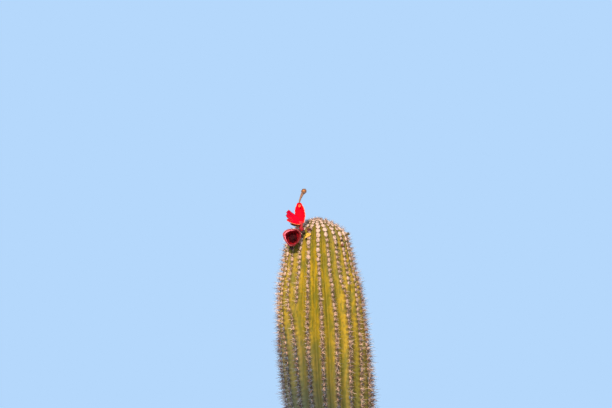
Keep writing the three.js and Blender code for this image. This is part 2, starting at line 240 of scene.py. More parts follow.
def dressed(name: str, finish: Finish) -> Material:
    """Makes a finish's material, whose surface is one Principled shader."""
    material = bpy.data.materials.new(name)
    material.use_nodes = True
    material.node_tree.nodes.clear()
    bench = Bench(material.node_tree)
    place = bench.node("ShaderNodeTexCoord", {}, {}, "Object")
    shader = bench.node("ShaderNodeBsdfPrincipled", {}, finish.paint(bench, place))
    bench.node("ShaderNodeOutputMaterial", {}, {"Surface": shader})
    return material


# Shape of the column


def smooth(x: Array | float) -> Array:
    """A smooth step from zero to one."""
    t = np.clip(x, 0.0, 1.0)
    return t * t * (3 - 2 * t)


def step(x: Array | Wire, low: float, high: float) -> Array | Wire:
    """A smooth step of numbers or of a wire, from zero at low to one at high, which may lie either way."""
    return x.ramp(low, high) if isinstance(x, Wire) else smooth((x - low) / (high - low))


def unit(vectors: Array) -> Array:
    """Vectors, in rows of any shape, each made one long."""
    return vectors / np.maximum(np.linalg.norm(vectors, axis=-1, keepdims=True), 1e-9)


def spot(x: float, y: float, z: float) -> Vector:
    """A field that holds a vector."""
    return field(default_factory=lambda: Vector((x, y, z)))


@dataclass(frozen=True)
class Wave:
    """A swelling or a waist of the column, at a depth below the tip."""

    depth: float
    size: float
    reach: float


@dataclass(frozen=True)
class Fork:
    """A strand that shares one rib with the next strand, below a depth."""

    strand: int
    depth: float


@dataclass(frozen=True)
class Strands:
    """Where the ribs are at some heights. Each array has a row for each height."""

    low: Array
    high: Array
    crest: Array
    open: Array


@dataclass(frozen=True)
class CrestFrame:
    """Points on a rib's crest, with the directions along, across and out of the rib."""

    point: Array
    along: Array
    across: Array
    out: Array

    def at(self, across: float, out: float) -> Vector:
        """The point that stands off the first crest point by two distances."""
        return Vector(self.point[0] + across * self.across[0] + out * self.out[0])


@dataclass(frozen=True)
class Column:
    """The column's girth, lean and ribs, which everything else on the plant follows."""

    height: float = 2.35
    radius: float = 0.148
    tip_rounding: float = 0.128
    lean: float = 0.136
    flare: float = 0.016
    flare_reach: float = 0.038
    waves: tuple[Wave, ...] = (
        Wave(0.048, 0.01, 0.028),
        Wave(0.16, -0.007, 0.045),
        Wave(0.68, -0.01, 0.09),
        Wave(1.42, -0.008, 0.13),
        Wave(2.23, -0.02, 0.26),
    )
    wave_start: float = 0.03
    strands: int = 22
    forks: tuple[Fork, ...] = (
        Fork(2, 0.255), Fork(8, 0.255), Fork(13, 0.33), Fork(19, 0.33),
        Fork(5, 1.08), Fork(10, 1.08), Fork(16, 1.08),
    )
    fork_arm: float = 0.05
    fork_reach: float = 0.11
    rib_depth: float = 0.017
    rib_sharpness: float = 1.6
    twist: float = math.radians(-6)
    twist_from: float = 0.25
    twist_to: float = 0.7
    crowding: float = 0.12
    crowding_from: float = 0.33
    crowding_to: float = 0.56
    foot_smoothing: float = 0.35
    foot_rib_share: float = 0.45
    crest_step: float = 0.002

    def axis(self, z: Array) -> Array:
        """How far the middle of the column stands to the right at some heights."""
        t = z / self.height
        return -self.lean * t**3 * (4 - 3 * t)

    def girth(self, z: Array) -> Array:
        """The radius over the crests at some heights."""
        depth = np.maximum(self.height - z, 0.0)
        swell = self.radius * np.sqrt(1 - np.exp(-depth / self.tip_rounding))
        waves = sum(w.size * np.exp(-(((depth - w.depth) / w.reach) ** 2)) for w in self.waves)
        waves = waves * smooth(depth / self.wave_start)
        return swell + waves + self.flare * np.exp(-z / self.flare_reach)

    def valley_depth(self, z: Array) -> Array:
        """How deep the valleys between ribs are at some heights."""
        share = self.foot_rib_share + (1 - self.foot_rib_share) * smooth(z / self.foot_smoothing)
        return self.rib_depth * share * self.girth(z) / self.radius

    def strands_at(self, z: Array) -> Strands:
        """Works out every rib's share of the girth at some heights.

        Args:
            z: heights.

        Returns:
            The edges and crests of the strands, and how open each one's fork is.
        """
        depth = self.height - z
        shares = np.ones((len(z), self.strands))
        for fork in self.forks:
            rise = smooth((fork.depth - depth + self.fork_reach) / (2 * self.fork_reach))
            shares[:, fork.strand] = shares[:, fork.strand + 1] = 0.5 + 0.5 * rise
        edges = np.concatenate([np.zeros((len(z), 1)), np.cumsum(shares, axis=1)], axis=1)
        edges = (edges - shares[:, :1] / 2) * (2 * math.pi / edges[:, -1:])
        twist = self.twist * smooth((depth - self.twist_from) / (self.twist_to - self.twist_from))
        crowding = smooth((depth - self.crowding_from) / (self.crowding_to - self.crowding_from))
        edges = edges + twist[:, None] - self.crowding * crowding[:, None] * np.sin(edges)
        low, high = edges[:, :-1].copy(), edges[:, 1:].copy()
        crest = (low + high) / 2
        gape = np.ones_like(crest)
        for fork in self.forks:
            rise = np.clip((fork.depth - depth) / self.fork_arm, 0, 1)
            open_share = np.sin(rise * math.pi / 2)
            middle = high[:, fork.strand]
            for k in (fork.strand, fork.strand + 1):
                crest[:, k] = middle + (crest[:, k] - middle) * open_share
                gape[:, k] = open_share
        return Strands(low, high, crest, gape)

    def relief(self, at: Strands, angle: Array) -> Array:
        """How far the skin lies under the crests, as a share of the valleys' depth.

        Args:
            at: the strands at the same heights.
            angle: angles, by height, strand and column.

        Returns:
            The shares, in the same shape.
        """
        crest = at.crest[:, :, None]
        rise = np.where(angle < crest, crest - at.low[:, :, None], at.high[:, :, None] - crest)
        share = np.clip(np.abs(angle - crest) / np.maximum(rise, 1e-9), 0, 1) ** self.rib_sharpness
        for fork in self.forks:
            left, right = fork.strand, fork.strand + 1
            inner_low, inner_high = at.crest[:, left, None], at.crest[:, right, None]
            half = np.maximum((inner_high - inner_low) / 2, 1e-6)
            for k in (left, right):
                off = np.abs(angle[:, k] - (inner_low + inner_high) / 2) / half
                inner = at.open[:, k, None] * np.clip(1 - off, 0, 1) ** self.rib_sharpness
                low_side = (inner_low - angle[:, k]) / (inner_low - at.low[:, left, None])
                high_side = (angle[:, k] - inner_high) / (at.high[:, right, None] - inner_high)
                outer = np.clip(np.maximum(low_side, high_side), 0, 1) ** self.rib_sharpness
                share[:, k] = np.where(off < 1, inner, outer)
        return share

    def place(self, angle: Array, radius: Array, z: Array) -> Array:
        """Points at some angles, radii and heights, as rows of X, Y and Z."""
        x = self.axis(z) + radius * np.sin(angle)
        return np.stack([x, -radius * np.cos(angle), z + 0 * x], axis=-1)

    def crest_points(self, strand: int, z: Array) -> Array:
        """Points on the crest of a strand at some heights."""
        return self.place(self.strands_at(z).crest[:, strand], self.girth(z), z)

    def crest_frame(self, strand: int, z: Array) -> CrestFrame:
        """The crest of a strand at some heights, with its directions."""
        above = np.minimum(z + self.crest_step, self.height - 1e-5)
        along = unit(self.crest_points(strand, above) - self.crest_points(strand, z - self.crest_step))
        angle = self.strands_at(z).crest[:, strand]
        out = np.stack([np.sin(angle), -np.cos(angle), 0 * angle], axis=1)
        out = unit(out - along * np.sum(out * along, axis=1)[:, None])
        return CrestFrame(self.crest_points(strand, z), along, np.cross(out, along), out)

    def seat(self, strand: int, depth: float) -> CrestFrame:
        """The one crest frame of a strand at a depth below the tip."""
        return self.crest_frame(strand, np.array([self.height - depth]))


@dataclass(frozen=True)
class WeatheringAndShade:
    """Where the skin is older and duller low on the column, partly as older skin and partly as painted
    shade, and where a painted bluish shadow lies higher up on its left side.
    """

    top: float = 2.05
    bottom: float = 1.36
    slant: float = 0.2
    middle: float = -0.1
    # painted shadow: where a dark bluish patch lies on part of the left side and front
    shade_top: float = 2.00
    shade_full: float = 1.77
    shade_slant: float = 0.8
    shade_left: float = -0.2
    shade_right: float = 0.06
    shade_fade: float = 1.7
    shade_end: float = 1.2
    shade_front: float = 0.0
    shade_back: float = 0.14
    grey_share: float = 0.75
    border_depth: float = 0.3

    def aged(self, x: Array | Wire, z: Array | Wire) -> Array | Wire:
        """The share of the older, duller tone at places across and up the column, which grows downwards and
        a little more on the left: partly older skin and partly painted shade.
        """
        return step(z + (x - self.middle) * self.slant, self.top, self.bottom)

    def shaded(self, x: Array | Wire, y: Array | Wire, z: Array | Wire) -> Array | Wire:
        """How much painted shadow, dark and bluish, lies at places on a part of the plant's left side and
        front.
        """
        level = z + (x - self.shade_left) * self.shade_slant
        share = step(level, self.shade_top, self.shade_full) * step(z, self.shade_end, self.shade_fade)
        share = share * step(x, self.shade_right, self.shade_left)
        return share * step(y, self.shade_back, self.shade_front)

    def greyed(self, points: Array) -> Array:
        """How grey the felt and the spines are at some points: partly as older felt and spines low on the
        column, and partly as painted shade where it lies on the skin.
        """
        x, y, z = points.T
        return np.maximum(self.aged(x, z) * self.grey_share, self.shaded(x, y, z))


# Making meshes


def new_piece(name: str, mesh: Mesh, materials: Sequence[Material] = ()) -> Piece:
    """Links a mesh as an object at the origin and gives it its materials."""
    piece = bpy.data.objects.new(name, mesh)
    bpy.context.scene.collection.objects.link(piece)
    for material in materials:
        mesh.materials.append(material)
    return piece


def finish_piece(piece: Piece, slot: str, *nodes: str) -> Piece:
    """Makes a finished piece ride on the root body, and hides the solids that it stands for."""
    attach(piece, ROOT_BODY)
    if nodes:
        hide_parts(*nodes)
    return piece


def joined(name: str, meshes: Sequence[Mesh], materials: Sequence[Material]) -> Piece:
    """Makes one piece of meshes that share their materials."""
    pieces = [new_piece(mesh.name, mesh, materials) for mesh in meshes]
    chosen = {"selected_objects": pieces, "selected_editable_objects": pieces}
    with bpy.context.temp_override(active_object=pieces[0], object=pieces[0], **chosen):
        bpy.ops.object.join()
    pieces[0].name = pieces[0].data.name = name
    return pieces[0]


def shaded_smooth(mesh: Mesh) -> Mesh:
    """Shades every face of a mesh smooth."""
    mesh.polygons.foreach_set("use_smooth", [True] * len(mesh.polygons))
    mesh.update()
    return mesh


def faced_mesh(name: str, vertices: Array, faces: Sequence[Sequence[int]], zones: Sequence[int]) -> Mesh:
    """Makes a smooth mesh, with the number of its material for each face."""
    mesh = bpy.data.meshes.new(name)
    mesh.from_pydata(vertices.tolist(), [], faces)
    mesh.polygons.foreach_set("material_index", zones)
    return shaded_smooth(mesh)


def shell_mesh(name: str, rings: Array, zones: Array | int = 0) -> Mesh:
    """Makes a closed mesh through rings of equally many points, its ends closed to their middles.

    Args:
        name: the mesh's name.
        rings: points by ring and place in the ring, turning right-handed about the way the rings go.
        zones: a material number for all, for each place in the ring, or for each ring and place.

    Returns:
        The mesh, smooth shaded.
    """
    rows, count, _ = rings.shape
    vertices = np.concatenate([rings.reshape(-1, 3), rings[:1].mean(axis=1), rings[-1:].mean(axis=1)])
    here = np.arange(rows * count).reshape(rows, count)
    aside = np.roll(here, -1, axis=1)
    sides = np.stack([here[:-1], aside[:-1], aside[1:], here[1:]], axis=-1).reshape(-1, 4).tolist()
    first, last = rows * count, rows * count + 1
    foot = [(first, b, a) for a, b in zip(here[0].tolist(), aside[0].tolist())]
    head = [(last, a, b) for a, b in zip(here[-1].tolist(), aside[-1].tolist())]
    numbers = np.broadcast_to(zones, (rows - 1, count)).astype(int).ravel().tolist()
    numbers += [numbers[0]] * count + [numbers[-1]] * count
    return faced_mesh(name, vertices, [*sides, *foot, *head], numbers)


def store(mesh: Mesh, label: str, values: Array) -> None:
    """Keeps a number or a vector for each point of a mesh under a label."""
    kind, key = ("FLOAT_VECTOR", "vector") if values.ndim == 2 else ("FLOAT", "value")
    layer = mesh.attributes.new(label, kind, "POINT")
    layer.data.foreach_set(key, values.astype(np.float32).ravel())


def point_cloud(name: str, point: Array, attributes: dict[str, Array]) -> Mesh:
    """Makes a mesh of loose points with attributes."""
    mesh = bpy.data.meshes.new(name)
    mesh.from_pydata(point.tolist(), [], [])
    for label, values in attributes.items():
        store(mesh, label, values)
    return mesh


SKEWED = np.array([1.0, 1.7, 2.3])


def noise_at(points: Array, shift: Array | float) -> Array:
    """Smooth noise from about minus one to one at points, whose unit is one lump, moved by a shift."""
    flat = (points + shift).reshape(-1, 3).tolist()
    return np.array([noise.noise(Vector(p)) for p in flat]).reshape(points.shape[:-1])


@dataclass(frozen=True)
class Lumps:
    """Smooth lumps: about how far they move a point, how many there are in a metre, and a seed."""

    size: float
    scale: float
    seed: float

    def on(self, points: Array, centre: Array) -> Array:
        """Points, in rows of any shape, moved to and from one centre or a centre for each."""
        push = self.size * noise_at(points * self.scale, self.seed)
        return points + unit(points - centre) * push[..., None]


def around(sides: int) -> Array:
    """Even angles round a full turn."""
    return np.linspace(0, FULL_TURN, sides, endpoint=False)


def hoops(centres: Array, right: Array, up: Array, reach: Array) -> Array:
    """Rings of points round some centres, with a reach by ring and side."""
    turn = around(reach.shape[1])
    return centres + (reach * np.cos(turn))[..., None] * right + (reach * np.sin(turn))[..., None] * up


def along_curve(points: Sequence[Vector], count: int) -> tuple[Array, Array]:
    """Even samples of a smooth curve through three or more points, and their directions."""
    known = np.array([tuple(p) for p in points])
    chords = np.linalg.norm(np.diff(known, axis=0), axis=1)
    place = np.concatenate([[0], np.cumsum(chords)])
    degree = min(len(known) - 1, 3)
    fits = [np.polyfit(place, known[:, axis], degree) for axis in range(3)]
    t = np.linspace(0, place[-1], count)
    ways = np.stack([np.polyval(np.polyder(fit), t) for fit in fits], axis=1)
    return np.stack([np.polyval(fit, t) for fit in fits], axis=1), unit(ways)


def tube_rings(centres: Array, ways: Array, radii: Array, folds: Array) -> Array:
    """Rings of points round a line.

    Args:
        centres: the line's points.
        ways: the line's directions there.
        radii: the radius at each point.
        folds: a factor on the radius, by ring and side.

    Returns:
        The rings.
    """
    right = unit(np.cross([0.0, 1.0, 0.0], ways))[:, None]
    return hoops(centres[:, None], right, np.cross(ways[:, None], right), radii[:, None] * folds)


# Finishes


@dataclass(frozen=True)
class SkinFinish:
    """Waxy skin: yellow-olive above, duller green lower down as older skin and partly as painted shade, a
    painted bluish shadow on part of the left side, painted shade between the cushions, and corky at the
    foot.
    """

    sunny: Colour = (0.34, 0.212, 0.007)
    green: Colour = (0.128, 0.118, 0.008)
    patches: Layer = Layer(green, 0.42, 0.68, 0.5)
    gold: Layer = Layer((0.47, 0.275, 0.005), 0.48, 0.66, 0.9)
    valley: Layer = Layer((0.205, 0.148, 0.006), 0.35, 1.0, 0.6)
    crest: Layer = Layer((0.29, 0.165, 0.04), 0.22, 0.0, 0.45)
    streaks: Layer = Layer(green, 0.42, 0.62, 0.8)
    mottle: Layer = Layer(green, 0.44, 0.64, 0.4)
    tip: Layer = Layer((0.135, 0.092, 0.01), 2.235, 2.375, 0.8)
    flecks: Layer = Layer((0.085, 0.068, 0.008), 0.5, 0.68, 0.55)
    # painted shade: a dark brown laid along the crests between the cushions, where cushions and spines cast
    # shadow
    gap: Colour = (0.06, 0.03, 0.014)
    painted_gap_shade_share: float = 0.7
    # the duller tones low on the column: partly older skin, partly painted shade that darkens the column
    # downwards
    old: Colour = (0.104, 0.104, 0.036)
    old_and_shaded_valley: Colour = (0.058, 0.07, 0.026)
    old_and_shaded_grooves: Layer = Layer(old_and_shaded_valley, 0.2, 1.0)
    old_and_shaded_streaks: Layer = Layer(old_and_shaded_valley, 0.45, 0.7, 0.4)
    old_and_shaded_gold: Layer = Layer((0.19, 0.15, 0.022), 0.42, 0.66, 0.45)
    # painted shadow: a dark bluish tone, darker still in the grooves, on part of the left side
    shade: Colour = (0.034, 0.056, 0.047)
    shade_grooves: Layer = Layer((0.019, 0.036, 0.033), 0.2, 1.0)
    shade_share: float = 0.78
    scabs: Layer = Layer((0.115, 0.052, 0.024), 0.665, 0.7, 0.8)
    cork: Colour = (0.15, 0.105, 0.065)
    cork_dark: Colour = (0.05, 0.034, 0.022)
    cork_cracks: Layer = Layer(cork_dark, 0.13, 0.0, 0.8)
    cork_mottle: Layer = Layer(cork_dark, 0.35, 0.65, 0.55)
    cork_height: float = 0.52
    cork_start: float = 0.06
    cork_ragged: float = 0.85
    cork_edge: float = 0.7
    patch_grain: Grain = Grain(6.5, 2.0)
    mottle_grain: Grain = Grain(60.0, 4.0)
    streak_grain: Grain = Grain(1.0, 4.0, 0.6, (80.0, 80.0, 18.0))
    gold_grain: Grain = Grain(1.0, 2.0, 0.55, (9.0, 9.0, 3.0))
    gold_shift: Triple = (2.5, 7.3, 4.8)
    fleck_grain: Grain = Grain(170.0, 4.0, 0.7, (1.0, 1.0, 0.7))
    scab_grain: Grain = Grain(38.0, 5.0, 0.7)
    cork_grain: Grain = Grain(15.0, 5.0, 0.65, (1.0, 1.0, 0.6))
    crack_grain: Grain = Grain(45.0, 4.0, 0.6)
    crack_crook: float = 0.045
    crack_scale: float = 85.0
    crack_stretch: Triple = (1.0, 1.0, 0.4)
    crack_width: float = 0.22
    crack_dent: tuple[float, float] = (0.003, 0.8)
    crease_grain: Grain = Grain(1.0, 3.0, 0.55, (70.0, 70.0, 520.0))
    crease_dent: tuple[float, float] = (0.001, 0.35)
    pore_scale: float = 900.0
    pore_dent: tuple[float, float] = (0.0003, 0.25)
    ragged: float = 0.3
    roughness: float = 0.52
    cork_roughness: float = 0.3
    mottle_roughness: float = 0.16
    weathering_and_shade: WeatheringAndShade = WeatheringAndShade()

    def young(self, place: Wire, groove: Wire, mottle: Wire, streaks: Wire, gilt: Wire) -> Wire:
        """The tones of the skin where it is young, with painted shade along the crests between the cushions.
        """
        skin = self.patches.over(self.sunny, self.patch_grain.at(place))
        skin = self.gold.over(skin, gilt)
        skin = self.valley.over(skin, groove)
        skin = self.crest.over(skin, groove)
        skin = self.streaks.over(skin, streaks)
        skin = self.mottle.over(skin, mottle)
        skin = self.tip.over(skin, place.bench.axes(place)[2])
        skin = self.flecks.over(skin, self.fleck_grain.at(place))
        # painted shade along the crests between the cushions
        return place.bench.blend(place.bench.carried("gap") * self.painted_gap_shade_share, skin, self.gap)

    def paint(self, bench: Bench, place: Wire) -> dict[str, object]:
        """The skin's colour, gloss and fine creases."""
        x, y, z = bench.axes(place)
        groove = bench.carried("groove")
        mottle = self.mottle_grain.at(place)
        streaks = self.streak_grain.at(place)
        gilt = self.gold_grain.at(place.plus(self.gold_shift))
        skin = self.young(place, groove, mottle, streaks, gilt)
        old = self.old_and_shaded_grooves.over(self.old, groove)
        old = self.old_and_shaded_streaks.over(old, streaks)
        old = self.old_and_shaded_gold.over(old, gilt)
        border = (self.patch_grain.at(place) - 0.5) * self.ragged
        # the duller tone comes in downwards and a little more on the left, partly as older skin and partly
        # as painted shade
        skin = bench.blend(self.weathering_and_shade.aged(x, z + border), skin, old)
        # painted shadow laid over the skin on part of the left side and front
        deep = y + border * self.weathering_and_shade.border_depth
        dusk = self.weathering_and_shade.shaded(x, deep, z + border) * self.shade_share
        skin = bench.blend(dusk, skin, self.shade_grooves.over(self.shade, groove))
        skin = self.scabs.over(skin, self.scab_grain.at(place))
        height = z + (self.cork_grain.at(place) - 0.5) * self.cork_ragged
        corky = 1 - height.ramp(self.cork_start, self.cork_height) ** self.cork_edge
        crooked = place.plus(self.crack_grain.at(place) * self.crack_crook).times(self.crack_stretch)
        cracks = bench.cells(crooked, self.crack_scale, "DISTANCE_TO_EDGE")
        bark = self.cork_mottle.over(self.cork_cracks.over(self.cork, cracks), mottle)
        fine = bench.dent(self.crease_grain.at(place), *self.crease_dent)
        fine = bench.dent(bench.cells(place, self.pore_scale), *self.pore_dent, fine)
        return {
            "Base Color": bench.blend(corky, skin, bark),
            "Roughness": self.roughness + corky * self.cork_roughness + mottle * self.mottle_roughness,
            "Specular IOR Level": 0.2,
            "Normal": bench.dent(cracks.ramp(0.0, self.crack_width) * corky, *self.crack_dent, fine),
        }


@dataclass(frozen=True)
class ToneFinish:
    """One matte tone, which is dealt out over many small things with others."""

    tone: Colour
    roughness: float = 0.9

    def paint(self, bench: Bench, place: Wire) -> dict[str, object]:
        """The tone alone."""
        return {"Base Color": self.tone, "Roughness": self.roughness}


@dataclass(frozen=True)
class PlainFinish:
    """A matte finish of two close tones, for what is small and repeats."""

    tone: Colour
    second: Colour
    scale: float = 240.0
    roughness: float = 0.85
    bump: float = 0.001
    shine: float = 0.5

    def paint(self, bench: Bench, place: Wire) -> dict[str, object]:
        """Two tones in fine noise, with a bump that follows it."""
        grain = Grain(self.scale, 4.0).at(place)
        return {
            "Base Color": Layer(self.second, 0.35, 0.65).over(self.tone, grain),
            "Roughness": self.roughness,
            "Specular IOR Level": self.shine,
            "Normal": bench.dent(grain, self.bump, 0.5),
        }


@dataclass(frozen=True)
class FleshFinish:
    """Moist fruit flesh: a tone, a deeper tone in streaks and blots, and a wet gloss."""

    tone: Colour
    deep: Colour
    blot: float = 130.0
    amount: float = 0.5
    roughness: float = 0.45
    shine: float = 0.15
    dried: Colour | None = None
    veins: float = 7.0
    uneven: float = 0.6

    def paint(self, bench: Bench, place: Wire) -> dict[str, object]:
        """Blots and fine veins, with a little wetness."""
        blots = Grain(self.blot, 4.0, 0.6).at(place)
        veins = Grain(self.blot * self.veins, 2.0).at(place)
        tone = Layer(self.deep, 0.42, 0.72, self.amount).over(self.tone, blots)
        if self.dried:
            tone = bench.blend((bench.carried("dried") * (self.uneven + blots)).clamp(), tone, self.dried)
        return {
            "Base Color": tone,
            "Roughness": self.roughness + blots * 0.2,
            "Specular IOR Level": self.shine,
            "Normal": bench.dent(veins, 0.0003, 0.4, bench.dent(blots, 0.001, 0.4)),
        }


@dataclass(frozen=True)
class RimFinish:
    """The torn edge of the open fruit: pink on one side and maroon on the other, partly as freshly torn and
    dried flesh and partly as painted highlight on the pink side and painted shade on the maroon one.
    """

    pink: Colour = (0.92, 0.165, 0.235)
    mauve: Layer = Layer((0.52, 0.032, 0.085), 0.48, 0.66)
    maroon: Colour = (0.15, 0.01, 0.012)
    tan: Layer = Layer((0.3, 0.055, 0.035), 0.45, 0.6)
    blots: Grain = Grain(120.0, 3.0, 0.6)
    specks: Grain = Grain(360.0, 3.0, 0.6)
    uneven: float = 0.9
    fresh_and_lit_from: float = 0.3
    fresh_and_lit_to: float = 0.62

    def paint(self, bench: Bench, place: Wire) -> dict[str, object]:
        """Blots of the four tones, dealt out by how freshly torn the edge is and by where painted highlight
        and painted shade lie on it.
        """
        blots, specks = self.blots.at(place), self.specks.at(place)
        dried = self.tan.over(self.maroon, specks)
        live_and_lit = self.mauve.over(self.pink, blots)
        # pink goes where the rim is freshly torn and where painted highlight lies, maroon where it is dried
        # and in painted shade
        share = (bench.carried("fresh") + (blots - 0.5) * self.uneven).ramp(self.fresh_and_lit_from, self.fresh_and_lit_to)
        return {
            "Base Color": bench.blend(share, dried, live_and_lit),
            "Roughness": 0.4 + specks * 0.25,
            "Specular IOR Level": 0.25,
            "Normal": bench.dent(specks, 0.0008, 0.5),
        }


def made(**finishes: Finish) -> Material | list[Material]:
    """A field that holds the material of a named finish, or a list of several."""

    def make() -> Material | list[Material]:
        """Makes the materials."""
        materials = [dressed(name, finish) for name, finish in finishes.items()]
        return materials if len(materials) > 1 else materials[0]

    return field(default_factory=make)


@dataclass
class Finishes:
    """Every finish on the plant, made once."""

    skin: Material = made(waxy_skin=SkinFinish())
    young_felt: Material = made(young_felt=ToneFinish((0.53, 0.355, 0.275)))
    felt: Material = made(felt=ToneFinish((0.52, 0.33, 0.235)))
    warm_felt: Material = made(warm_felt=ToneFinish((0.34, 0.195, 0.11)))
    # bluish grey felt: partly older felt low on the column, partly painted shade on the left side
    old_felt: Material = made(old_felt=ToneFinish((0.125, 0.14, 0.17)))
    pale_spine: Material = made(pale_spine=ToneFinish((0.74, 0.5, 0.36), 0.55))
    tan_spine: Material = made(tan_spine=ToneFinish((0.5, 0.315, 0.21), 0.55))
    rose_spine: Material = made(rose_spine=ToneFinish((0.3, 0.165, 0.12), 0.55))
    dark_spine: Material = made(dark_spine=ToneFinish((0.045, 0.024, 0.022), 0.55))
    # bluish grey spines: partly older spines low on the column, partly painted shade on the left side
    grey_spine: Material = made(grey_spine=ToneFinish((0.19, 0.195, 0.225), 0.6))
    spine_tip: Material = made(spine_tip=ToneFinish((0.1, 0.046, 0.034), 0.5))
    husk: list[Material] = made(
        husk_outside=FleshFinish((0.5, 0.022, 0.036), (0.22, 0.03, 0.022), 90.0, 0.7, 0.55),
        # orange of the valves' torn edges and of the navel's ring, where it is partly a painted highlight
        husk_rim=FleshFinish((0.93, 0.25, 0.07), (0.8, 0.07, 0.03)),
        husk_inside=FleshFinish(
            (0.93, 0.001, 0.01), (0.7, 0.000, 0.01), 110.0, 0.8, 0.6, 0.04, (0.2, 0.000, 0.022)
        ),
        husk_scale=FleshFinish((0.2, 0.062, 0.016), (0.09, 0.02, 0.01), 150.0, 0.8, 0.7),
    )
    rind: list[Material] = made(
        rind_outside=FleshFinish((0.42, 0.022, 0.04), (0.14, 0.016, 0.02), 90.0, 0.8, 0.5),
        rind_rim=RimFinish(),
        rind_inside=FleshFinish((0.32, 0.006, 0.012), (0.05, 0.002, 0.004), 120.0, 0.9, 0.4, 0.1),
    )
    pulp: Material = made(
        pulp=FleshFinish((0.06, 0.002, 0.006), (0.004, 0.001, 0.001), 220.0, 0.9, 0.5, 0.08)
    )
    seed: Material = made(
        seed=PlainFinish((0.006, 0.003, 0.003), (0.022, 0.005, 0.006), 500.0, 0.6, 0.0004, 0.08)
    )
    dry: Material = made(
        dry_flower=PlainFinish((0.31, 0.15, 0.085), (0.15, 0.07, 0.045), 260.0, 0.8, 0.0008)
    )
    # orange for the dried stamens in the knob's heart, partly a painted glint there
    dry_tip: Material = made(dry_tip=PlainFinish((0.78, 0.27, 0.04), (0.45, 0.13, 0.03), 400.0, 0.8, 0.0004))
    crust: Material = made(crust=PlainFinish((0.06, 0.022, 0.016), (0.016, 0.01, 0.009)))
    russet: Material = made(russet=PlainFinish((0.26, 0.085, 0.04), (0.13, 0.04, 0.022)))
    garnet: Material = made(garnet=PlainFinish((0.115, 0.02, 0.01), (0.055, 0.008, 0.005)))
    ochre: Material = made(ochre=PlainFinish((0.8, 0.47, 0.06), (0.6, 0.3, 0.03), 240.0, 0.75))
    bud: Material = made(dried_bud=PlainFinish((0.16, 0.125, 0.045), (0.09, 0.05, 0.03), 260.0, 0.8))


# Geometry Nodes


class Grower:
    """A Geometry Nodes tree with named inputs, which is run once on a mesh of points."""

    def __init__(self, name: str) -> None:
        """Starts a tree that takes and gives a geometry.

        Args:
            name: the tree's name.
        """
        self.tree = bpy.data.node_groups.new(name, "GeometryNodeTree")
        self.tree.interface.new_socket("Geometry", in_out="OUTPUT", socket_type="NodeSocketGeometry")
        self.tree.interface.new_socket("Points", in_out="INPUT", socket_type="NodeSocketGeometry")
        self.bench = Bench(self.tree)
        self.entry = self.tree.nodes.new("NodeGroupInput")
        self.points = Wire(self.bench, self.entry.outputs["Points"])

    def setting(self, name: str, kind: str, value: float) -> Wire:
        """Adds a named input of a kind, such as "Float" or "Int", and returns its wire."""
        socket = self.tree.interface.new_socket(name, in_out="INPUT", socket_type="NodeSocket" + kind)
        socket.default_value = value
        return Wire(self.bench, self.entry.outputs[name])

    def attribute(self, name: str, kind: str = "FLOAT") -> Wire:
        """Reads what the points carry under a name."""
        return self.bench.node("GeometryNodeInputNamedAttribute", {"data_type": kind}, {"Name": name})

    def chance(self, seed: Wire | float, low: float = 0.0, high: float = 1.0) -> Wire:
        """A random number for each element."""
        inputs = {"Min": low, "Max": high, "Seed": seed}
        return self.bench.node("FunctionNodeRandomValue", {"data_type": "FLOAT"}, inputs)

    def marked(self, geometry: Wire, label: str, value: Wire, domain: str = "POINT") -> Wire:
        """Makes each point or face of a geometry carry a number."""
        settings = {"data_type": "FLOAT", "domain": domain}
        inputs = {"Geometry": geometry, "Name": label, "Value": value}
        return self.bench.node("GeometryNodeStoreNamedAttribute", settings, inputs)

    def sized(self, x: Wire, y: Wire, z: Wire) -> Wire:
        """A scale along each axis."""
        return self.bench.node("ShaderNodeCombineXYZ", {}, {"X": x, "Y": y, "Z": z})

    def facing(self, way: Wire) -> Wire:
        """The turn that makes a form's top face a way."""
        return self.bench.node("FunctionNodeAlignRotationToVector", {"axis": "Z"}, {"Vector": way})

    def planted(self, points: Wire, form: Wire, turn: Wire, scale: Wire) -> Wire:
        """Sets a copy of a form at each point, and makes plain faces of the copies."""
        inputs = {"Points": points, "Instance": form, "Rotation": turn, "Scale": scale}
        copies = self.bench.node("GeometryNodeInstanceOnPoints", {}, inputs)
        return self.bench.node("GeometryNodeRealizeInstances", {}, {0: copies})

    def painted(self, geometry: Wire, coats: dict[Material, Wire | bool]) -> Wire:
        """Gives the faces that each test picks its material, one coat after another."""
        for material, where in coats.items():
            inputs = {"Geometry": geometry, "Selection": where, "Material": material}
            geometry = self.bench.node("GeometryNodeSetMaterial", {}, inputs)
        return geometry

    def give(self, geometry: Wire) -> None:
        """Ends the tree with a geometry."""
        self.bench.node("NodeGroupOutput", {}, {"Geometry": geometry})

    def run(self, points: Mesh, values: dict[str, float]) -> Mesh:
        """Runs the tree on points.

        Args:
            points: a mesh of loose points with the attributes that the tree reads.
            values: values of the named inputs.

        Returns:
            A plain mesh, with only its shape and materials.
        """
        bed = bpy.data.objects.new(points.name + "_bed", points)
        bpy.context.scene.collection.objects.link(bed)
        modifier = bed.modifiers.new("grow", "NODES")
        modifier.node_group = self.tree
        for socket in self.tree.interface.items_tree:
            if socket.name in values:
                modifier[socket.identifier] = values[socket.name]
        graph = bpy.context.evaluated_depsgraph_get()
        mesh = bpy.data.meshes.new_from_object(bed.evaluated_get(graph))
        bed.modifiers.remove(modifier)
        bpy.data.objects.remove(bed)
        kept = {"position", "material_index", "sharp_face", ".edge_verts", ".corner_vert", ".corner_edge"}
        for name in [a.name for a in mesh.attributes if a.name not in kept]:
            mesh.attributes.remove(mesh.attributes[name])
        return mesh


# The column's skin


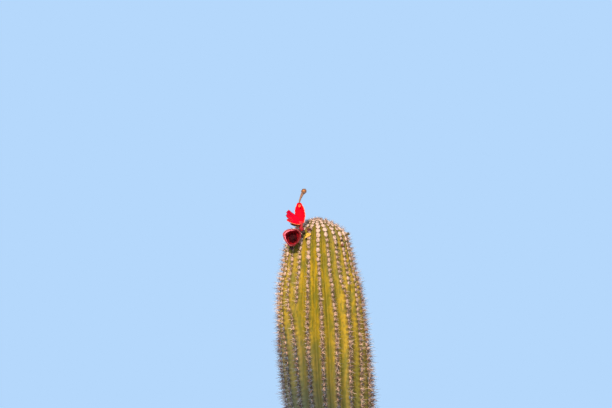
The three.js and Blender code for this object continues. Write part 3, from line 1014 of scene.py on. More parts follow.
@dataclass
class ColumnSkin:
    """The ribbed skin, whose ribs swell a little at each cushion and turn to cork at the foot."""

    column: Column
    rows: "CushionRows"
    material: Material
    columns_per_rib: int = 12
    first_step: float = 0.0015
    fine_step: float = 0.0037
    coarse_step: float = 0.0115
    fine_length: float = 0.72
    step_fade: float = 0.2
    swelling: float = 0.0016
    wander: float = 0.0022
    wander_scale: Triple = (7.0, 7.0, 3.5)
    ripple: float = 0.0007
    ripple_scale: Triple = (34.0, 34.0, 20.4)
    calm_girth: float = 0.05
    cork_lumps: float = 0.0045
    cork_scale: float = 60.0
    cork_ripple: float = 0.6
    cork_height: float = 0.3
    painted_gap_shade_relief: float = 0.35
    painted_gap_shade_fade: float = 0.3
    painted_gap_shade_girth: float = 0.06

    def heights(self) -> Array:
        """The heights of the rings, closer together near the tip, from the ground up."""
        shape = self.column
        depth = shape.height * np.linspace(0, 1, 40001) ** 2
        z = shape.height - depth
        arc = np.concatenate([[0], np.cumsum(np.hypot(np.diff(z), np.diff(shape.girth(z))))])
        steps = [self.first_step]
        while steps[-1] < arc[-1] - self.coarse_step * 0.5:
            share = float(smooth((steps[-1] - self.fine_length) / self.step_fade))
            steps.append(steps[-1] + self.fine_step + (self.coarse_step - self.fine_step) * share)
        levels = np.interp(steps, arc, depth)
        levels[-1] = shape.height
        return (shape.height - levels)[::-1]

    def angles(self, at: Strands) -> Array:
        """The angles of the skin's points by height, strand and column, closer together at a fork."""
        share = np.arange(self.columns_per_rib) / self.columns_per_rib
        low, high, crest = at.low[:, :, None], at.high[:, :, None], at.crest[:, :, None]
        even = low + (high - low) * share
        up, down = low + (crest - low) * 2 * share, crest + (high - crest) * (2 * share - 1)
        return even + (np.where(share < 0.5, up, down) - even) * at.open[:, :, None]

    def roughened(self, points: Array, z: Array) -> Array:
        """The skin's points, moved in and out by slow and quick waves, and by the cork at the foot."""
        shape = self.column
        calm = smooth(shape.girth(z) / self.calm_girth)[:, None]
        corky = (1 - smooth(z / self.cork_height))[:, None]
        slow = noise_at(points * self.wander_scale, 3.1 * SKEWED)
        quick = noise_at(points * self.ripple_scale, 8.7 * SKEWED)
        lumps = noise_at(points * self.cork_scale, 1.7 * SKEWED) + self.cork_ripple * quick
        push = calm * (self.wander * slow + self.ripple * quick) + corky * self.cork_lumps * lumps
        axis = np.stack([shape.axis(z), 0 * z, z], axis=1)[:, None]
        return points + unit(points - axis) * push[..., None]

    def build(self) -> Piece:
        """Makes the skin as one closed mesh."""
        shape = self.column
        z = self.heights()
        at = shape.strands_at(z)
        angle = self.angles(at)
        relief = shape.relief(at, angle)
        girth = shape.girth(z)[:, None, None]
        swell = np.stack([self.rows.swelling_at(k, z) for k in range(shape.strands)], axis=1)[:, :, None]
        radius = girth - shape.valley_depth(z)[:, None, None] * relief
        radius = radius + self.swelling * girth / shape.radius * swell * (1 - relief) ** 3
        # painted shade between the cushions: most midway between two, near the crests, and less on the thin
        # tip
        gap = (0.5 - 0.5 * swell) * smooth((self.painted_gap_shade_relief - relief) / self.painted_gap_shade_fade)
        gap = gap * smooth(girth / self.painted_gap_shade_girth)
        angle, radius, relief, gap = (a.reshape(len(z), -1) for a in (angle, radius, relief, gap))
        points = self.roughened(shape.place(angle, radius, z[:, None]), z)
        mesh = shell_mesh("column_skin", points)
        for label, values in (("groove", relief), ("gap", gap)):
            store(mesh, label, np.append(values, [0.0, 0.0]))
        return finish_piece(new_piece("column_skin", mesh, [self.material]), "skin", "trunk")


# Cushions and spines


@dataclass
class CushionRows:
    """Where the felted cushions sit, from the growing tip down every rib."""

    column: Column
    top_pitch: float = 0.008
    pitch: float = 0.0165
    low_pitch: float = 0.02
    pitch_depth: float = 0.045
    low_from: float = 0.7
    low_fade: float = 1.2
    unevenness: float = 0.14
    top_depth: float = 0.0016
    stagger: float = 0.006
    stagger_turn: float = 0.618
    jog: float = 0.0008
    knot_gap: float = 0.7
    foot_gap: float = 0.012
    seed: int = 17
    dome_radius: float = 0.014
    dome_count: int = 16
    dome_fan: float = 14.0
    frames: list[CrestFrame] = field(init=False)
    levels: list[Array] = field(init=False)

    def __post_init__(self) -> None:
        """Works out the heights of the cushions on each rib."""
        draws = np.random.default_rng(self.seed)
        strands = range(self.column.strands)
        self.levels = [self.levels_on(strand, draws) for strand in strands]
        self.frames = [self.column.crest_frame(strand, self.levels[strand]) for strand in strands]

    def levels_on(self, strand: int, draws: np.random.Generator) -> Array:
        """The heights of the cushions on one rib, from the tip down."""
        staggered = self.stagger * ((strand * self.stagger_turn) % 1.0)
        depth = self.top_depth + staggered + self.jog * (strand % 3)
        end = self.last_depth(strand)
        depths = []
        while depth < end:
            depths.append(depth)
            depth += self.pitch_at(depth) * draws.uniform(1 - self.unevenness, 1 + self.unevenness)
        return self.column.height - np.array(depths)

    def fork_above(self, strand: int) -> Fork | None:
        """The fork that ends a rib, where it is the right arm of one."""
        return next((fork for fork in self.column.forks if strand == fork.strand + 1), None)

    def last_depth(self, strand: int) -> float:
        """How deep a rib's cushions reach: to its fork, or nearly to the ground."""
        fork = self.fork_above(strand)
        if fork:
            return fork.depth - self.knot_gap * self.column.fork_arm
        return self.column.height - self.foot_gap

    def pitch_at(self, depth: float) -> float:
        """The distance from a cushion at a depth to the next one down."""
        young = self.top_pitch + (self.pitch - self.top_pitch) * float(smooth(depth / self.pitch_depth))
        return young + (self.low_pitch - self.pitch) * float(smooth((depth - self.low_from) / self.low_fade))

    def swelling_at(self, strand: int, z: Array) -> Array:
        """How far a rib swells at some heights, from one at a cushion to minus one between two."""
        fork = self.fork_above(strand)
        own = self.swelling_of(strand, z)
        if fork is None:
            return own
        return np.where(z < self.column.height - fork.depth, self.swelling_of(fork.strand, z), own)

    def swelling_of(self, strand: int, z: Array) -> Array:
        """The swelling that one row of cushions gives."""
        levels = self.levels[strand][::-1]
        return np.cos(FULL_TURN * np.interp(z, levels, np.arange(len(levels))))

    def gathered(self) -> tuple[Array, Array, Array, Array]:
        """The points of all cushions, their ways out and across, and their depths below the tip."""
        dome = self.dome_points()
        fan = np.tile([0.0, 0.0, 1.0], (self.dome_count, 1))
        fan[:, :2] = (dome[:, :2] - [self.column.axis(self.column.height), 0.0]) * self.dome_fan
        fan = unit(fan)
        point = np.concatenate([*(f.point for f in self.frames), dome])
        out = np.concatenate([*(f.out for f in self.frames), fan])
        across = np.concatenate([*(f.across for f in self.frames), unit(np.cross([0.0, 1.0, 0.0], fan))])
        return point, out, across, self.column.height - point[:, 2]

    def dome_points(self) -> Array:
        """Cushions on the growing tip, in the spiral that the plant makes them in."""
        order = np.arange(self.dome_count)
        radius = self.dome_radius * np.sqrt((order + 0.5) / self.dome_count)
        z = self.column.height - self.column.tip_rounding * (radius / self.column.radius) ** 2
        return self.column.place(order * GOLDEN_ANGLE, radius, z)


@dataclass
class Cushions:
    """The felted cushions that the spines grow from: pale and large near the tip, small and grey below,
    partly as older felt and partly as painted shade.
    """

    rows: CushionRows
    finishes: Finishes
    seed: int = 11
    depths: Numbers = (0.0, 0.01, 0.035, 0.11, 0.2, 0.35, 0.6, 1.4, 2.35)
    widths: Numbers = (0.0062, 0.0104, 0.0134, 0.0108, 0.0088, 0.0084, 0.0078, 0.007, 0.0056)
    narrowest: float = 0.66
    widest: float = 1.28
    length: float = 1.35
    thickness: float = 0.55
    sink: float = 0.14
    stray: float = 0.0012
    lump: float = 0.003
    lumps: Grain = Grain(260.0, 2.0)
    weathering_and_shade: WeatheringAndShade = WeatheringAndShade()
    warm_share: float = 0.35
    old_and_shaded_share: float = 0.9
    young_depth: float = 0.06
    young_fade: float = 0.3

    def tree(self) -> Grower:
        """The tree that sets a lumpy cushion at each point."""
        grower = Grower("cushions")
        bench = grower.bench
        seed = grower.setting("Seed", "Int", self.seed)
        lump = grower.setting("Lump", "Float", self.lump)
        ball = bench.node("GeometryNodeMeshUVSphere", {}, {"Segments": 8, "Rings": 5, "Radius": 0.5}, "Mesh")
        out, across = (grower.attribute(name, "FLOAT_VECTOR") for name in ("out", "across"))
        ways = {"Primary Axis": out, "Secondary Axis": across}
        turn = bench.node("FunctionNodeAxesToRotation", {"primary_axis": "Z", "secondary_axis": "X"}, ways)
        width = grower.attribute("width") * grower.chance(seed, self.narrowest, self.widest)
        points = grower.marked(grower.points, "deal", grower.chance(seed + 1))
        scale = grower.sized(width, width * self.length, width * self.thickness)
        solid = grower.planted(points, ball, turn, scale)
        bumps = self.lumps.at(bench.node("GeometryNodeInputPosition")) - 0.5
        shove = bench.node("GeometryNodeInputNormal").stretched(bumps * lump * 2)
        solid = bench.node("GeometryNodeSetPosition", {}, {"Geometry": solid, "Offset": shove})
        chance = grower.attribute("deal")
        coats = {
            self.finishes.felt: True,
            self.finishes.warm_felt: chance < self.warm_share,
            self.finishes.young_felt: grower.attribute("young") > chance,
            self.finishes.old_felt: grower.attribute("age") > chance,
        }
        grower.give(grower.painted(solid, coats))
        return grower

    def build(self) -> Piece:
        """Makes all cushions as one piece."""
        point, out, across, depth = self.rows.gathered()
        width = np.interp(depth, self.depths, self.widths)
        aside = across * np.random.default_rng(self.seed).normal(0, self.stray, (len(depth), 1))
        sunk = out * (width * self.thickness * self.sink)[:, None] + aside
        values = {
            "out": out,
            "across": across,
            "width": width,
            # how grey the felt is: ageing low on the column, and painted shade on part of the left side
            "age": self.weathering_and_shade.greyed(point) * self.old_and_shaded_share,
            "young": 1 - smooth((depth - self.young_depth) / self.young_fade),
        }
        points = point_cloud("cushion_points", point + sunk, values)
        mesh = shaded_smooth(self.tree().run(points, {"Seed": self.seed, "Lump": self.lump}))
        return finish_piece(new_piece("cushions", mesh), "wool", "crown_wool")


@dataclass(frozen=True)
class SpineBand:
    """A stretch of the column, by depth below the tip, and how many spines each of its cushions has."""

    name: str
    top: float
    bottom: float
    count: int


@dataclass
class Spines:
    """The spines: a spray of slim cones on every cushion, in bands down the column."""

    rows: CushionRows
    finishes: Finishes
    bands: tuple[SpineBand, ...] = (
        SpineBand("spines_crown", -0.01, 0.2, 40),
        SpineBand("spines_upper", 0.2, 0.56, 32),
        SpineBand("spines_middle", 0.56, 1.2, 24),
        SpineBand("spines_lower", 1.2, 2.4, 18),
    )
    depths: Numbers = (0.0, 0.004, 0.015, 0.04, 0.1, 0.3, 0.6, 1.2, 1.9, 2.35)
    reaches: Numbers = (
        0.0085, 0.009, 0.012, 0.0145, 0.016, 0.02, 0.024, 0.0244, 0.0244, 0.014,
    )
    uneven_reach: float = 0.15
    flattest: float = math.radians(86)
    steepest: float = math.radians(8)
    tilt_power: float = 0.62
    tilt_play: float = 0.16
    turn_play: float = 0.5
    outer_length: float = 0.62
    inner_length: float = 0.9
    shortest: float = 0.65
    longest: float = 1.1
    thickness: float = 0.00062
    outer_width: float = 0.8
    inner_width: float = 0.5
    young_width: float = 0.8
    old_width: float = 0.9
    width_from: float = 0.05
    width_fade: float = 0.6
    tip_level: float = 0.55
    weathering_and_shade: WeatheringAndShade = WeatheringAndShade()
    old_and_shaded_share: float = 0.75
    dusk_top: float = 0.26
    dusk: float = 0.25
    dusk_rose: float = 2.0
    dusk_tips: float = 2.6
    young_depth: float = 0.03
    young_fade: float = 0.2
    pale_share: float = 0.45
    pale_rest: float = 0.42
    seed: int = 5

    def tree(self) -> Grower:
        """The tree that grows a spray of spines at each point."""
        grower = Grower("spine_sprays")
        bench = grower.bench
        count = grower.setting("Count", "Int", 20)
        seed = grower.setting("Seed", "Int", self.seed)
        thickness = grower.setting("Thickness", "Float", self.thickness)
        amount = {"Geometry": grower.points, "Amount": count}
        copies = bench.node("GeometryNodeDuplicateElements", {"domain": "POINT"}, amount, "Geometry")
        order = copies.other("Duplicate Index")
        inner = 1 - (order + 0.5) / count
        turn = grower.facing(self.aim(grower, order, inner, seed))
        length = grower.attribute("reach") * (self.outer_length + self.inner_length * inner**3)
        length = length * grower.chance(seed + 2, self.shortest, self.longest)
        width = thickness * (self.outer_width + self.inner_width * inner) * grower.attribute("stout")
        points = grower.marked(copies, "deal", grower.chance(seed + 3))
        solid = grower.planted(points, self.cone(grower), turn, grower.sized(width, width, length))
        grower.give(self.dressing(grower, solid))
        return grower

    def aim(self, grower: Grower, order: Wire, inner: Wire, seed: Wire) -> Wire:
        """The way each spine points: the first stand up, and the last lie flat, round a spiral."""
        out, across = (grower.attribute(name, "FLOAT_VECTOR") for name in ("out", "across"))
        along = across.cross(out)
        spread = (self.flattest - self.steepest) * (1 - inner) ** self.tilt_power
        tilt = self.steepest + spread + grower.chance(seed, -self.tilt_play, self.tilt_play)
        azimuth = order * GOLDEN_ANGLE + grower.attribute("start")
        azimuth = azimuth + grower.chance(seed + 1, -self.turn_play, self.turn_play)
        sideways = across.stretched(azimuth.cosine()).plus(along.stretched(azimuth.sine()))
        return out.stretched(tilt.cosine()).plus(sideways.stretched(tilt.sine()))

    def cone(self, grower: Grower) -> Wire:
        """One spine a metre long, the faces of its tip marked."""
        sizes = {"Vertices": 3, "Side Segments": 2, "Radius Top": 0.0, "Radius Bottom": 1.0, "Depth": 1.0}
        spine = grower.bench.node("GeometryNodeMeshCone", {"fill_type": "NGON"}, sizes, "Mesh")
        level = grower.bench.axes(grower.bench.node("GeometryNodeInputPosition"))[2]
        return grower.marked(spine, "tip", level > self.tip_level, "FACE")

    def dressing(self, grower: Grower, solid: Wire) -> Wire:
        """The spines in their colours, dealt out by chance, by ageing, by painted shade that greys them, and
        by dusk.
        """
        chance, dusk = grower.attribute("deal"), grower.attribute("dusk")
        tips = grower.attribute("tip") * (chance < dusk * self.dusk_tips)
        coats = {
            self.finishes.tan_spine: True,
            self.finishes.pale_spine: chance > 1 - grower.attribute("young"),
            self.finishes.rose_spine: chance < dusk * self.dusk_rose,
            self.finishes.dark_spine: chance < dusk,
            self.finishes.grey_spine: grower.attribute("age") > 1 - chance,
            self.finishes.spine_tip: tips > 0.5,
        }
        return grower.painted(solid, coats)

    def build(self) -> list[Piece]:
        """Makes the bands, each as one piece that stands for the rows of spines."""
        point, out, across, depth = self.rows.gathered()
        draws = np.random.default_rng(self.seed)
        uneven = draws.uniform(1 - self.uneven_reach, 1 + self.uneven_reach, len(depth))
        aged = smooth((depth - self.young_depth) / self.young_fade)
        values = {
            "out": out,
            "across": across,
            "reach": np.interp(depth, self.depths, self.reaches) * uneven,
            # how grey the spines are: ageing low on the column, and painted shade on part of the left side
            "age": self.weathering_and_shade.greyed(point) * self.old_and_shaded_share,
            "dusk": self.dusk_top + (self.dusk - self.dusk_top) * aged,
            "young": self.pale_share * (1 - aged) + self.pale_rest,
            "start": draws.uniform(0, FULL_TURN, len(depth)),
            "stout": self.young_width + self.old_width * smooth((depth - self.width_from) / self.width_fade),
        }
        grower = self.tree()
        rows = [f"spine_row_{number + 1:02d}" for number in range(self.rows.column.strands)]
        pieces = []
        for place, band in enumerate(self.bands):
            inside = (depth >= band.top) & (depth < band.bottom)
            chosen = {label: array[inside] for label, array in values.items()}
            points = point_cloud(band.name + "_points", point[inside], chosen)
            settings = {"Count": band.count, "Seed": self.seed + 10 * place, "Thickness": self.thickness}
            piece = new_piece(band.name, grower.run(points, settings))
            pieces.append(finish_piece(piece, "spines", *rows))
        return pieces


@dataclass
class CrownFelt:
    """The felt that fills the growing tip between its youngest cushions."""

    column: Column
    material: Material
    radius: float = 0.019
    lift: float = 0.0006
    lift_rise: float = 1.15
    sink: float = 0.0035
    scallops: int = 11
    scallop_depth: float = 0.12
    lumps: Lumps = Lumps(0.002, 170.0, 2.2)
    lump_centre: float = 0.12
    inmost: float = 0.05
    rings: int = 16
    sides: int = 56

    def ring(self, share: float, lift: float) -> Array:
        """The ring at a share of the radius, lifted off the skin."""
        shape = self.column
        depth = np.linspace(0, 0.05, 2001)
        turn = around(self.sides)
        ragged = 1 + self.scallop_depth * np.sin(turn * self.scallops) * share**4
        reach = self.radius * share * ragged
        z = shape.height - np.interp(reach, shape.girth(shape.height - depth), depth)
        return shape.place(turn, reach, z) + [0.0, 0.0, lift]

    def build(self) -> Piece:
        """Makes the felt as a thin lumpy lens over the tip."""
        shape = self.column
        shares = np.sin(np.linspace(self.inmost, 1, self.rings) * math.pi / 2)
        under = np.stack([self.ring(share, -self.sink) for share in shares])
        over = np.stack([self.ring(share, self.lift * (self.lift_rise - share)) for share in shares[::-1]])
        centre = np.array([shape.axis(shape.height), 0.0, shape.height - self.lump_centre])
        mesh = shell_mesh("crown_felt", np.concatenate([under, self.lumps.on(over, centre)]))
        return finish_piece(new_piece("crown_felt", mesh, [self.material]), "wool", "crown_wool")


# Small forms of fruit and scraps


@dataclass(frozen=True)
class Leaf:
    """A small dried leaf or scale, by three points along it and the way its back faces."""

    foot: Vector
    mid: Vector
    top: Vector
    face: Vector
    width: float
    thick: float = 0.0009
    count: int = 14
    blunt: float = 0.7
    cup: float = 0.5
    crumple: float = 0.25

    def mesh(self, name: str, seed: float, zone: int = 0) -> Mesh:
        """Makes the leaf as a thin shell, its crumples shifted by a seed, in the material of a number."""
        centres, ways = along_curve([self.foot, self.mid, self.top], self.count)
        face = np.array(self.face)
        back = unit(face - ways * (ways @ face)[:, None])
        across = np.cross(back, ways)
        place = np.linspace(0, 1, self.count)[:, None]
        half = self.width / 2 * np.sin(math.pi * (0.12 + 0.84 * place)) ** self.blunt
        wide, deep = np.cos(around(self.count)), np.sin(around(self.count))
        cup = -self.cup * half * wide**2
        cells = np.stack([wide * 1.6 + 0 * cup, place * 3 + 0 * cup, 0 * cup + seed], -1)
        rise = cup + noise_at(cells, 2.0 * SKEWED) * self.width * self.crumple + self.thick / 2 * deep
        rings = centres[:, None] + across[:, None] * (half * wide)[..., None]
        return shell_mesh(name, rings + back[:, None] * rise[..., None], zone)


@dataclass(frozen=True)
class Pebble:
    """A small lumpy rounded form between two ends, its lumps a share of its radius."""

    foot: Vector
    top: Vector
    radius: float
    rough: float = 0.12
    rows: int = 16
    sides: int = 22
    snub: float = 0.1

    def mesh(self, name: str, seed: float, zone: int = 0) -> Mesh:
        """Makes the form, its lumps shifted by a seed, in the material of a number."""
        line = np.array(self.top - self.foot)
        place = (1 - np.cos(np.linspace(self.snub, 1 - self.snub, self.rows) * math.pi)) / 2
        radii = self.radius * np.sqrt(np.maximum(1 - (2 * place - 1) ** 2, 0.0))
        turn = around(self.sides)
        folds = 0.6 * np.sin(turn * 5 + seed) + 0.4 * np.sin(turn * 8 + place[:, None] * 4)
        centres = np.array(self.foot) + place[:, None] * line
        rings = tube_rings(centres, np.tile(unit(line), (self.rows, 1)), radii, 1 + self.rough * folds)
        lumps = Lumps(self.radius * self.rough * 2, 1.6 / self.radius, seed)
        return shell_mesh(name, lumps.on(rings, np.array(self.foot) + line / 2), zone)


@dataclass(frozen=True)
class Tube:
    """A wrinkled tube, by its radii from end to end.

    Its folds turn round it by a twist, and its creases run straight. Each is a number and a depth.
    """

    radii: Numbers
    samples: int
    sides: int
    folds: tuple[int, float]
    twist: float
    creases: tuple[int, float]
    lumps: Lumps

    def mesh(self, name: str, line: Sequence[Vector], zone: int = 0) -> Mesh:
        """Makes the tube along a line of points, in the material of a number."""
        centres, ways = along_curve(line, self.samples)
        place = np.linspace(0, 1, self.samples)
        radii = np.interp(place, np.linspace(0, 1, len(self.radii)), self.radii)
        turn = around(self.sides)
        wrinkles = 1 + self.folds[1] * np.sin(turn * self.folds[0] + self.twist * place[:, None])
        wrinkles = wrinkles + self.creases[1] * np.sin(turn * self.creases[0])
        rings = tube_rings(centres, ways, radii, wrinkles)
        return shell_mesh(name, self.lumps.on(rings, centres[:, None]), zone)


# The split fruit and its flower


@dataclass(frozen=True)
class Valve:
    """One piece of wall that a husk split into, by its middle line from the fork and how it opens.

    Its points and its width are in millimetres. Its end is a phase: near one it narrows to a point, lower
    it stays broad. Its tear is how ragged that end is, its two rims are shares of its half width, on its
    two edges, and dried is how crimson its tip has turned.
    """

    root: Triple
    bend: Triple
    tip: Triple
    width: float
    hollow: float
    opens: Triple
    seed: float
    end: float
    tear: float
    rims: tuple[float, float]
    dried: float
    start: float = 0.12
    heel: float = 0.2
    slow_edge: float = 0.05
    quick_edge: float = 0.03

    def line(self, place: Array) -> tuple[Array, Array, Array, Array]:
        """The middle line at shares of its length, and its ways along, across and inward."""
        root, bend, tip = (np.array(v) / MILLIMETRES for v in (self.root, self.bend, self.tip))
        centre = (1 - place) ** 2 * root + 2 * place * (1 - place) * bend + place**2 * tip
        along = unit(2 * (1 - place) * (bend - root) + 2 * place * (tip - bend))
        opens = np.array(self.opens)
        inward = unit(opens - along * (along @ opens)[:, None])
        return centre, along, np.cross(inward, along), inward

    def half_width(self, place: Array) -> Array:
        """Half its width at shares of its length, with its uneven edges."""
        phase = self.start + (self.end - self.start) * place
        full = self.heel + (1 - self.heel) * np.sin(math.pi * phase) ** 0.8
        slow = self.slow_edge * np.sin(place * 17 + self.seed * 2) * place
        quick = self.quick_edge * np.sin(place * 41 + self.seed)
        return self.width / MILLIMETRES * full * (1 + slow + quick) / 2

    def torn(self, place: Array, t: Array) -> Array:
        """How far its end is torn back at places along and across it."""
        return self.tear * (0.5 + 0.5 * np.sin(t * 5.5 + self.seed * 2.1)) * place**6

    def dryness(self, place: Array, t: Array) -> Array:
        """How dry it is at places along and across it: towards its tip and at its edges."""
        tip = smooth(place / 0.9) * (0.7 + 0.3 * np.sin(t * 7 + self.seed))
        return self.dried * (tip + 1.3 * smooth((np.abs(t) - 0.7) / 0.25))


@dataclass
class SplitHusk:
    """A fruit's husk that split and dried open: one scarlet valve upright, three torn ones at its left."""

    seat: CrestFrame
    walls: list[Material]
    stand: float = 0.0058
    fork: Vector = spot(-0.006, -0.012, 0.025)
    rows: int = 64
    half_sides: int = 22
    thickness: float = 0.0036
    rim_thinning: float = 0.97
    tip_thinning: float = 0.55
    crown: float = 0.1
    streak_depth: float = 0.001
    streaks_across: float = 160.0
    streaks_along: float = 5.0
    scale_depth: float = 0.0012
    scale_rows: float = 9.0
    scale_turns: float = 2.2
    curl: float = 0.0025
    valves: tuple[Valve, ...] = (
        Valve(
            (2, 0, -2), (-2, 4, 32), (-4, -5, 65), 36, 0.46, (-0.3, -1, 0.1), 1.0,
            end=0.95, tear=0.0, rims=(0.86, 0.97), dried=0.12,
        ),
        Valve(
            (0, 0, -2), (-18, -10, 9), (-44, -14, 38), 21, 0.34, (0.3, -0.95, 0.3), 2.0,
            end=0.84, tear=0.003, rims=(0.99, 0.99), dried=0.9,
        ),
        Valve(
            (0, -2, -2), (-20, -15, 4), (-47, -19, 26), 23, 0.34, (0.25, -0.9, 0.4), 3.0,
            end=0.9, tear=0.0045, rims=(0.99, 0.99), dried=0.7,
        ),
        Valve(
            (1, -2, -1), (-18, -17, 0), (-45, -24, 7), 24, 0.38, (0.15, -0.75, 0.7), 4.0,
            end=0.94, tear=0.002, rims=(0.99, 0.88), dried=0.6,
        ),
    )
    neck: Tube = Tube(
        (0.0058, 0.0062, 0.0066, 0.007, 0.0076, 0.0082, 0.0066), 28, 28, (5, 0.07), 2.0, (11, 0.04),
        Lumps(0.0007, 220.0, 4.4),
    )
    neck_sink: float = 0.0055
    neck_lead: float = 0.006
    neck_end: Vector = spot(0, 0, 0.004)
    navel: Vector = spot(0.0005, -0.0038, -0.0105)
    navel_way: Vector = spot(-0.25, -1.0, 0.12)
    navel_radius: float = 0.0028
    navel_wall: float = 0.0008
    navel_height: float = 1.15
    navel_lumps: Lumps = Lumps(0.0005, 380.0, 2.0)
    plug_radius: float = 0.0026
    plug_depth: float = 0.002
    plug_rise: float = 0.0014
    scale_thickness: float = 0.001
    scales: tuple[tuple[Triple, Triple, Triple, Triple, float], ...] = (
        ((-4, -3, -10), (-16, -9, -10), (-34, -16, -5), (0.1, -1, -0.5), 8.0),
        ((-2, -4, -5), (-8, -8, -10), (-15, -9, -17), (-0.4, -0.8, -0.4), 9.0),
        ((2, -2, -6), (5, -3, -10), (7, -2, -17), (0.7, -0.7, 0), 6.0),
    )

    def fork_point(self) -> Vector:
        """Where the neck opens into the valves."""
        return self.seat.at(0, self.stand) + self.fork

    def upright_tip(self) -> Vector:
        """The tip of the upright valve, which carries the dried flower."""
        return self.fork_point() + Vector(self.valves[0].tip) / MILLIMETRES

    def section(self) -> tuple[Array, Array]:
        """Places across a valve and back, with the side of each: one inside, minus one outside."""
        t = np.sin(np.linspace(1, -1, self.half_sides) * math.pi / 2)
        between = np.ones(self.half_sides - 2)
        return np.concatenate([t, t[-2:0:-1]]), np.concatenate([[0], between, [0], -between])

    def lift(self, valve: Valve, place: Array, t: Array, side: Array) -> Array:
        """How far a valve's skin stands inward of its middle line.

        Args:
            valve: the valve.
            place: shares of its length, as a column.
            t: places across it.
            side: which side of the wall each is on.

        Returns:
            Distances by row and place, with the cupping, the streaks inside and the scales outside.
        """
        half = valve.half_width(place)
        flat = 0 * half * t
        wall = self.thickness / 2 * (1 - self.tip_thinning * place**4)
        wall = wall * np.sqrt(1 - self.rim_thinning * t**2)
        cupping = valve.hollow * half * (t**2 - 1) + self.crown * half
        cells = np.stack([t * half * self.streaks_across, place * self.streaks_along + flat, flat], -1)
        streaks = noise_at(cells, valve.seed * 5 * SKEWED) * self.streak_depth * (side > 0)
        down, turns = place * self.scale_rows, np.arcsin(np.clip(t, -1, 1)) * self.scale_turns
        scales = np.abs(np.sin(down * math.pi) * np.cos(turns * math.pi + np.floor(down) * math.pi / 2))
        scales = scales * self.scale_depth * (side < 0) * np.sin(math.pi * place)
        folds = noise_at(np.stack([t * 2 + flat, place * 3 + flat, flat], -1), valve.seed * SKEWED)
        return cupping + side * wall + streaks - scales + self.curl * folds * place

    def valve_mesh(self, valve: Valve, name: str) -> Mesh:
        """Makes one valve as a closed shell with its outside, rim and inside as materials."""
        place = np.linspace(0, 1, self.rows)[:, None]
        t, side = self.section()
        centre, along, across, inward = valve.line(place)
        rings = np.array(self.fork_point()) + centre[:, None]
        rings = rings + across[:, None] * (valve.half_width(place) * t)[..., None]
        rings = rings + inward[:, None] * self.lift(valve, place, t, side)[..., None]
        rings = rings - along[:, None] * valve.torn(place, t)[..., None]
        near_rim = ((t < -valve.rims[0]) | (t > valve.rims[1])) & (side >= 0)
        walls = np.where(side > 0, Zone.INSIDE, Zone.OUTSIDE)
        mesh = shell_mesh(name, rings, np.where(near_rim, Zone.RIM, walls))
        store(mesh, "dried", np.append(valve.dryness(place, t), [0.0, valve.dried]))
        return mesh

    def neck_mesh(self) -> Mesh:
        """Makes the neck from the rib up into the fork."""
        line = [self.seat.at(0, self.stand + step) for step in (-self.neck_sink, self.neck_lead)]
        return self.neck.mesh("husk_neck", [*line, self.fork_point() + self.neck_end], Zone.OUTSIDE)

    def navel_meshes(self) -> list[Mesh]:
        """Makes the ringed scar near the upright valve's tip, through which the flower's tube came; the
        ring's orange is partly a painted highlight.
        """
        centre = self.upright_tip() + self.navel
        way = self.navel_way.normalized()
        right = way.cross(Vector((0, 0, 1))).normalized()
        turn, section = around(30)[:, None], around(10)
        hoop = np.cos(turn) * np.array(right) + self.navel_height * np.sin(turn) * np.array(right.cross(way))
        wide = self.navel_radius + self.navel_wall * np.cos(section)
        high = self.navel_wall * 0.8 * np.sin(section)
        rings = np.array(centre) + hoop * wide[:, None, None] + high[:, None, None] * np.array(way)
        vertices = self.navel_lumps.on(rings, np.array(centre)).reshape(-1, 3)
        here = np.arange(len(vertices)).reshape(len(section), len(turn))
        aside, above = np.roll(here, -1, axis=1), np.roll(here, -1, axis=0)
        faces = np.stack([here, above, np.roll(above, -1, axis=1), aside], axis=-1).reshape(-1, 4).tolist()
        plug = Pebble(centre - way * self.plug_depth, centre + way * self.plug_rise, self.plug_radius)
        # the ring takes the orange of the husk's torn edges, here partly a painted highlight
        rim = faced_mesh("navel_hoop", vertices, faces, [Zone.RIM] * len(faces))
        return [rim, plug.mesh("navel_plug", 3.0, Zone.SCALE)]

    def scale_meshes(self) -> list[Mesh]:
        """Makes the brown dried scales that hang under the fork."""
        meshes = []
        for number, (*points, face, width) in enumerate(self.scales):
            foot, mid, top = (self.fork_point() + Vector(point) / MILLIMETRES for point in points)
            leaf = Leaf(foot, mid, top, Vector(face), width / MILLIMETRES, self.scale_thickness)
            meshes.append(leaf.mesh(f"husk_scale_{number}", number + 1.0, Zone.SCALE))
        return meshes

    def build(self) -> Piece:
        """Makes the neck and the valves as one piece."""
        meshes = [self.neck_mesh(), *self.navel_meshes(), *self.scale_meshes()]
        meshes += [self.valve_mesh(valve, f"valve_{place}") for place, valve in enumerate(self.valves)]
        return finish_piece(joined("split_husk", meshes, self.walls), "fruit_red", "split_fruit")


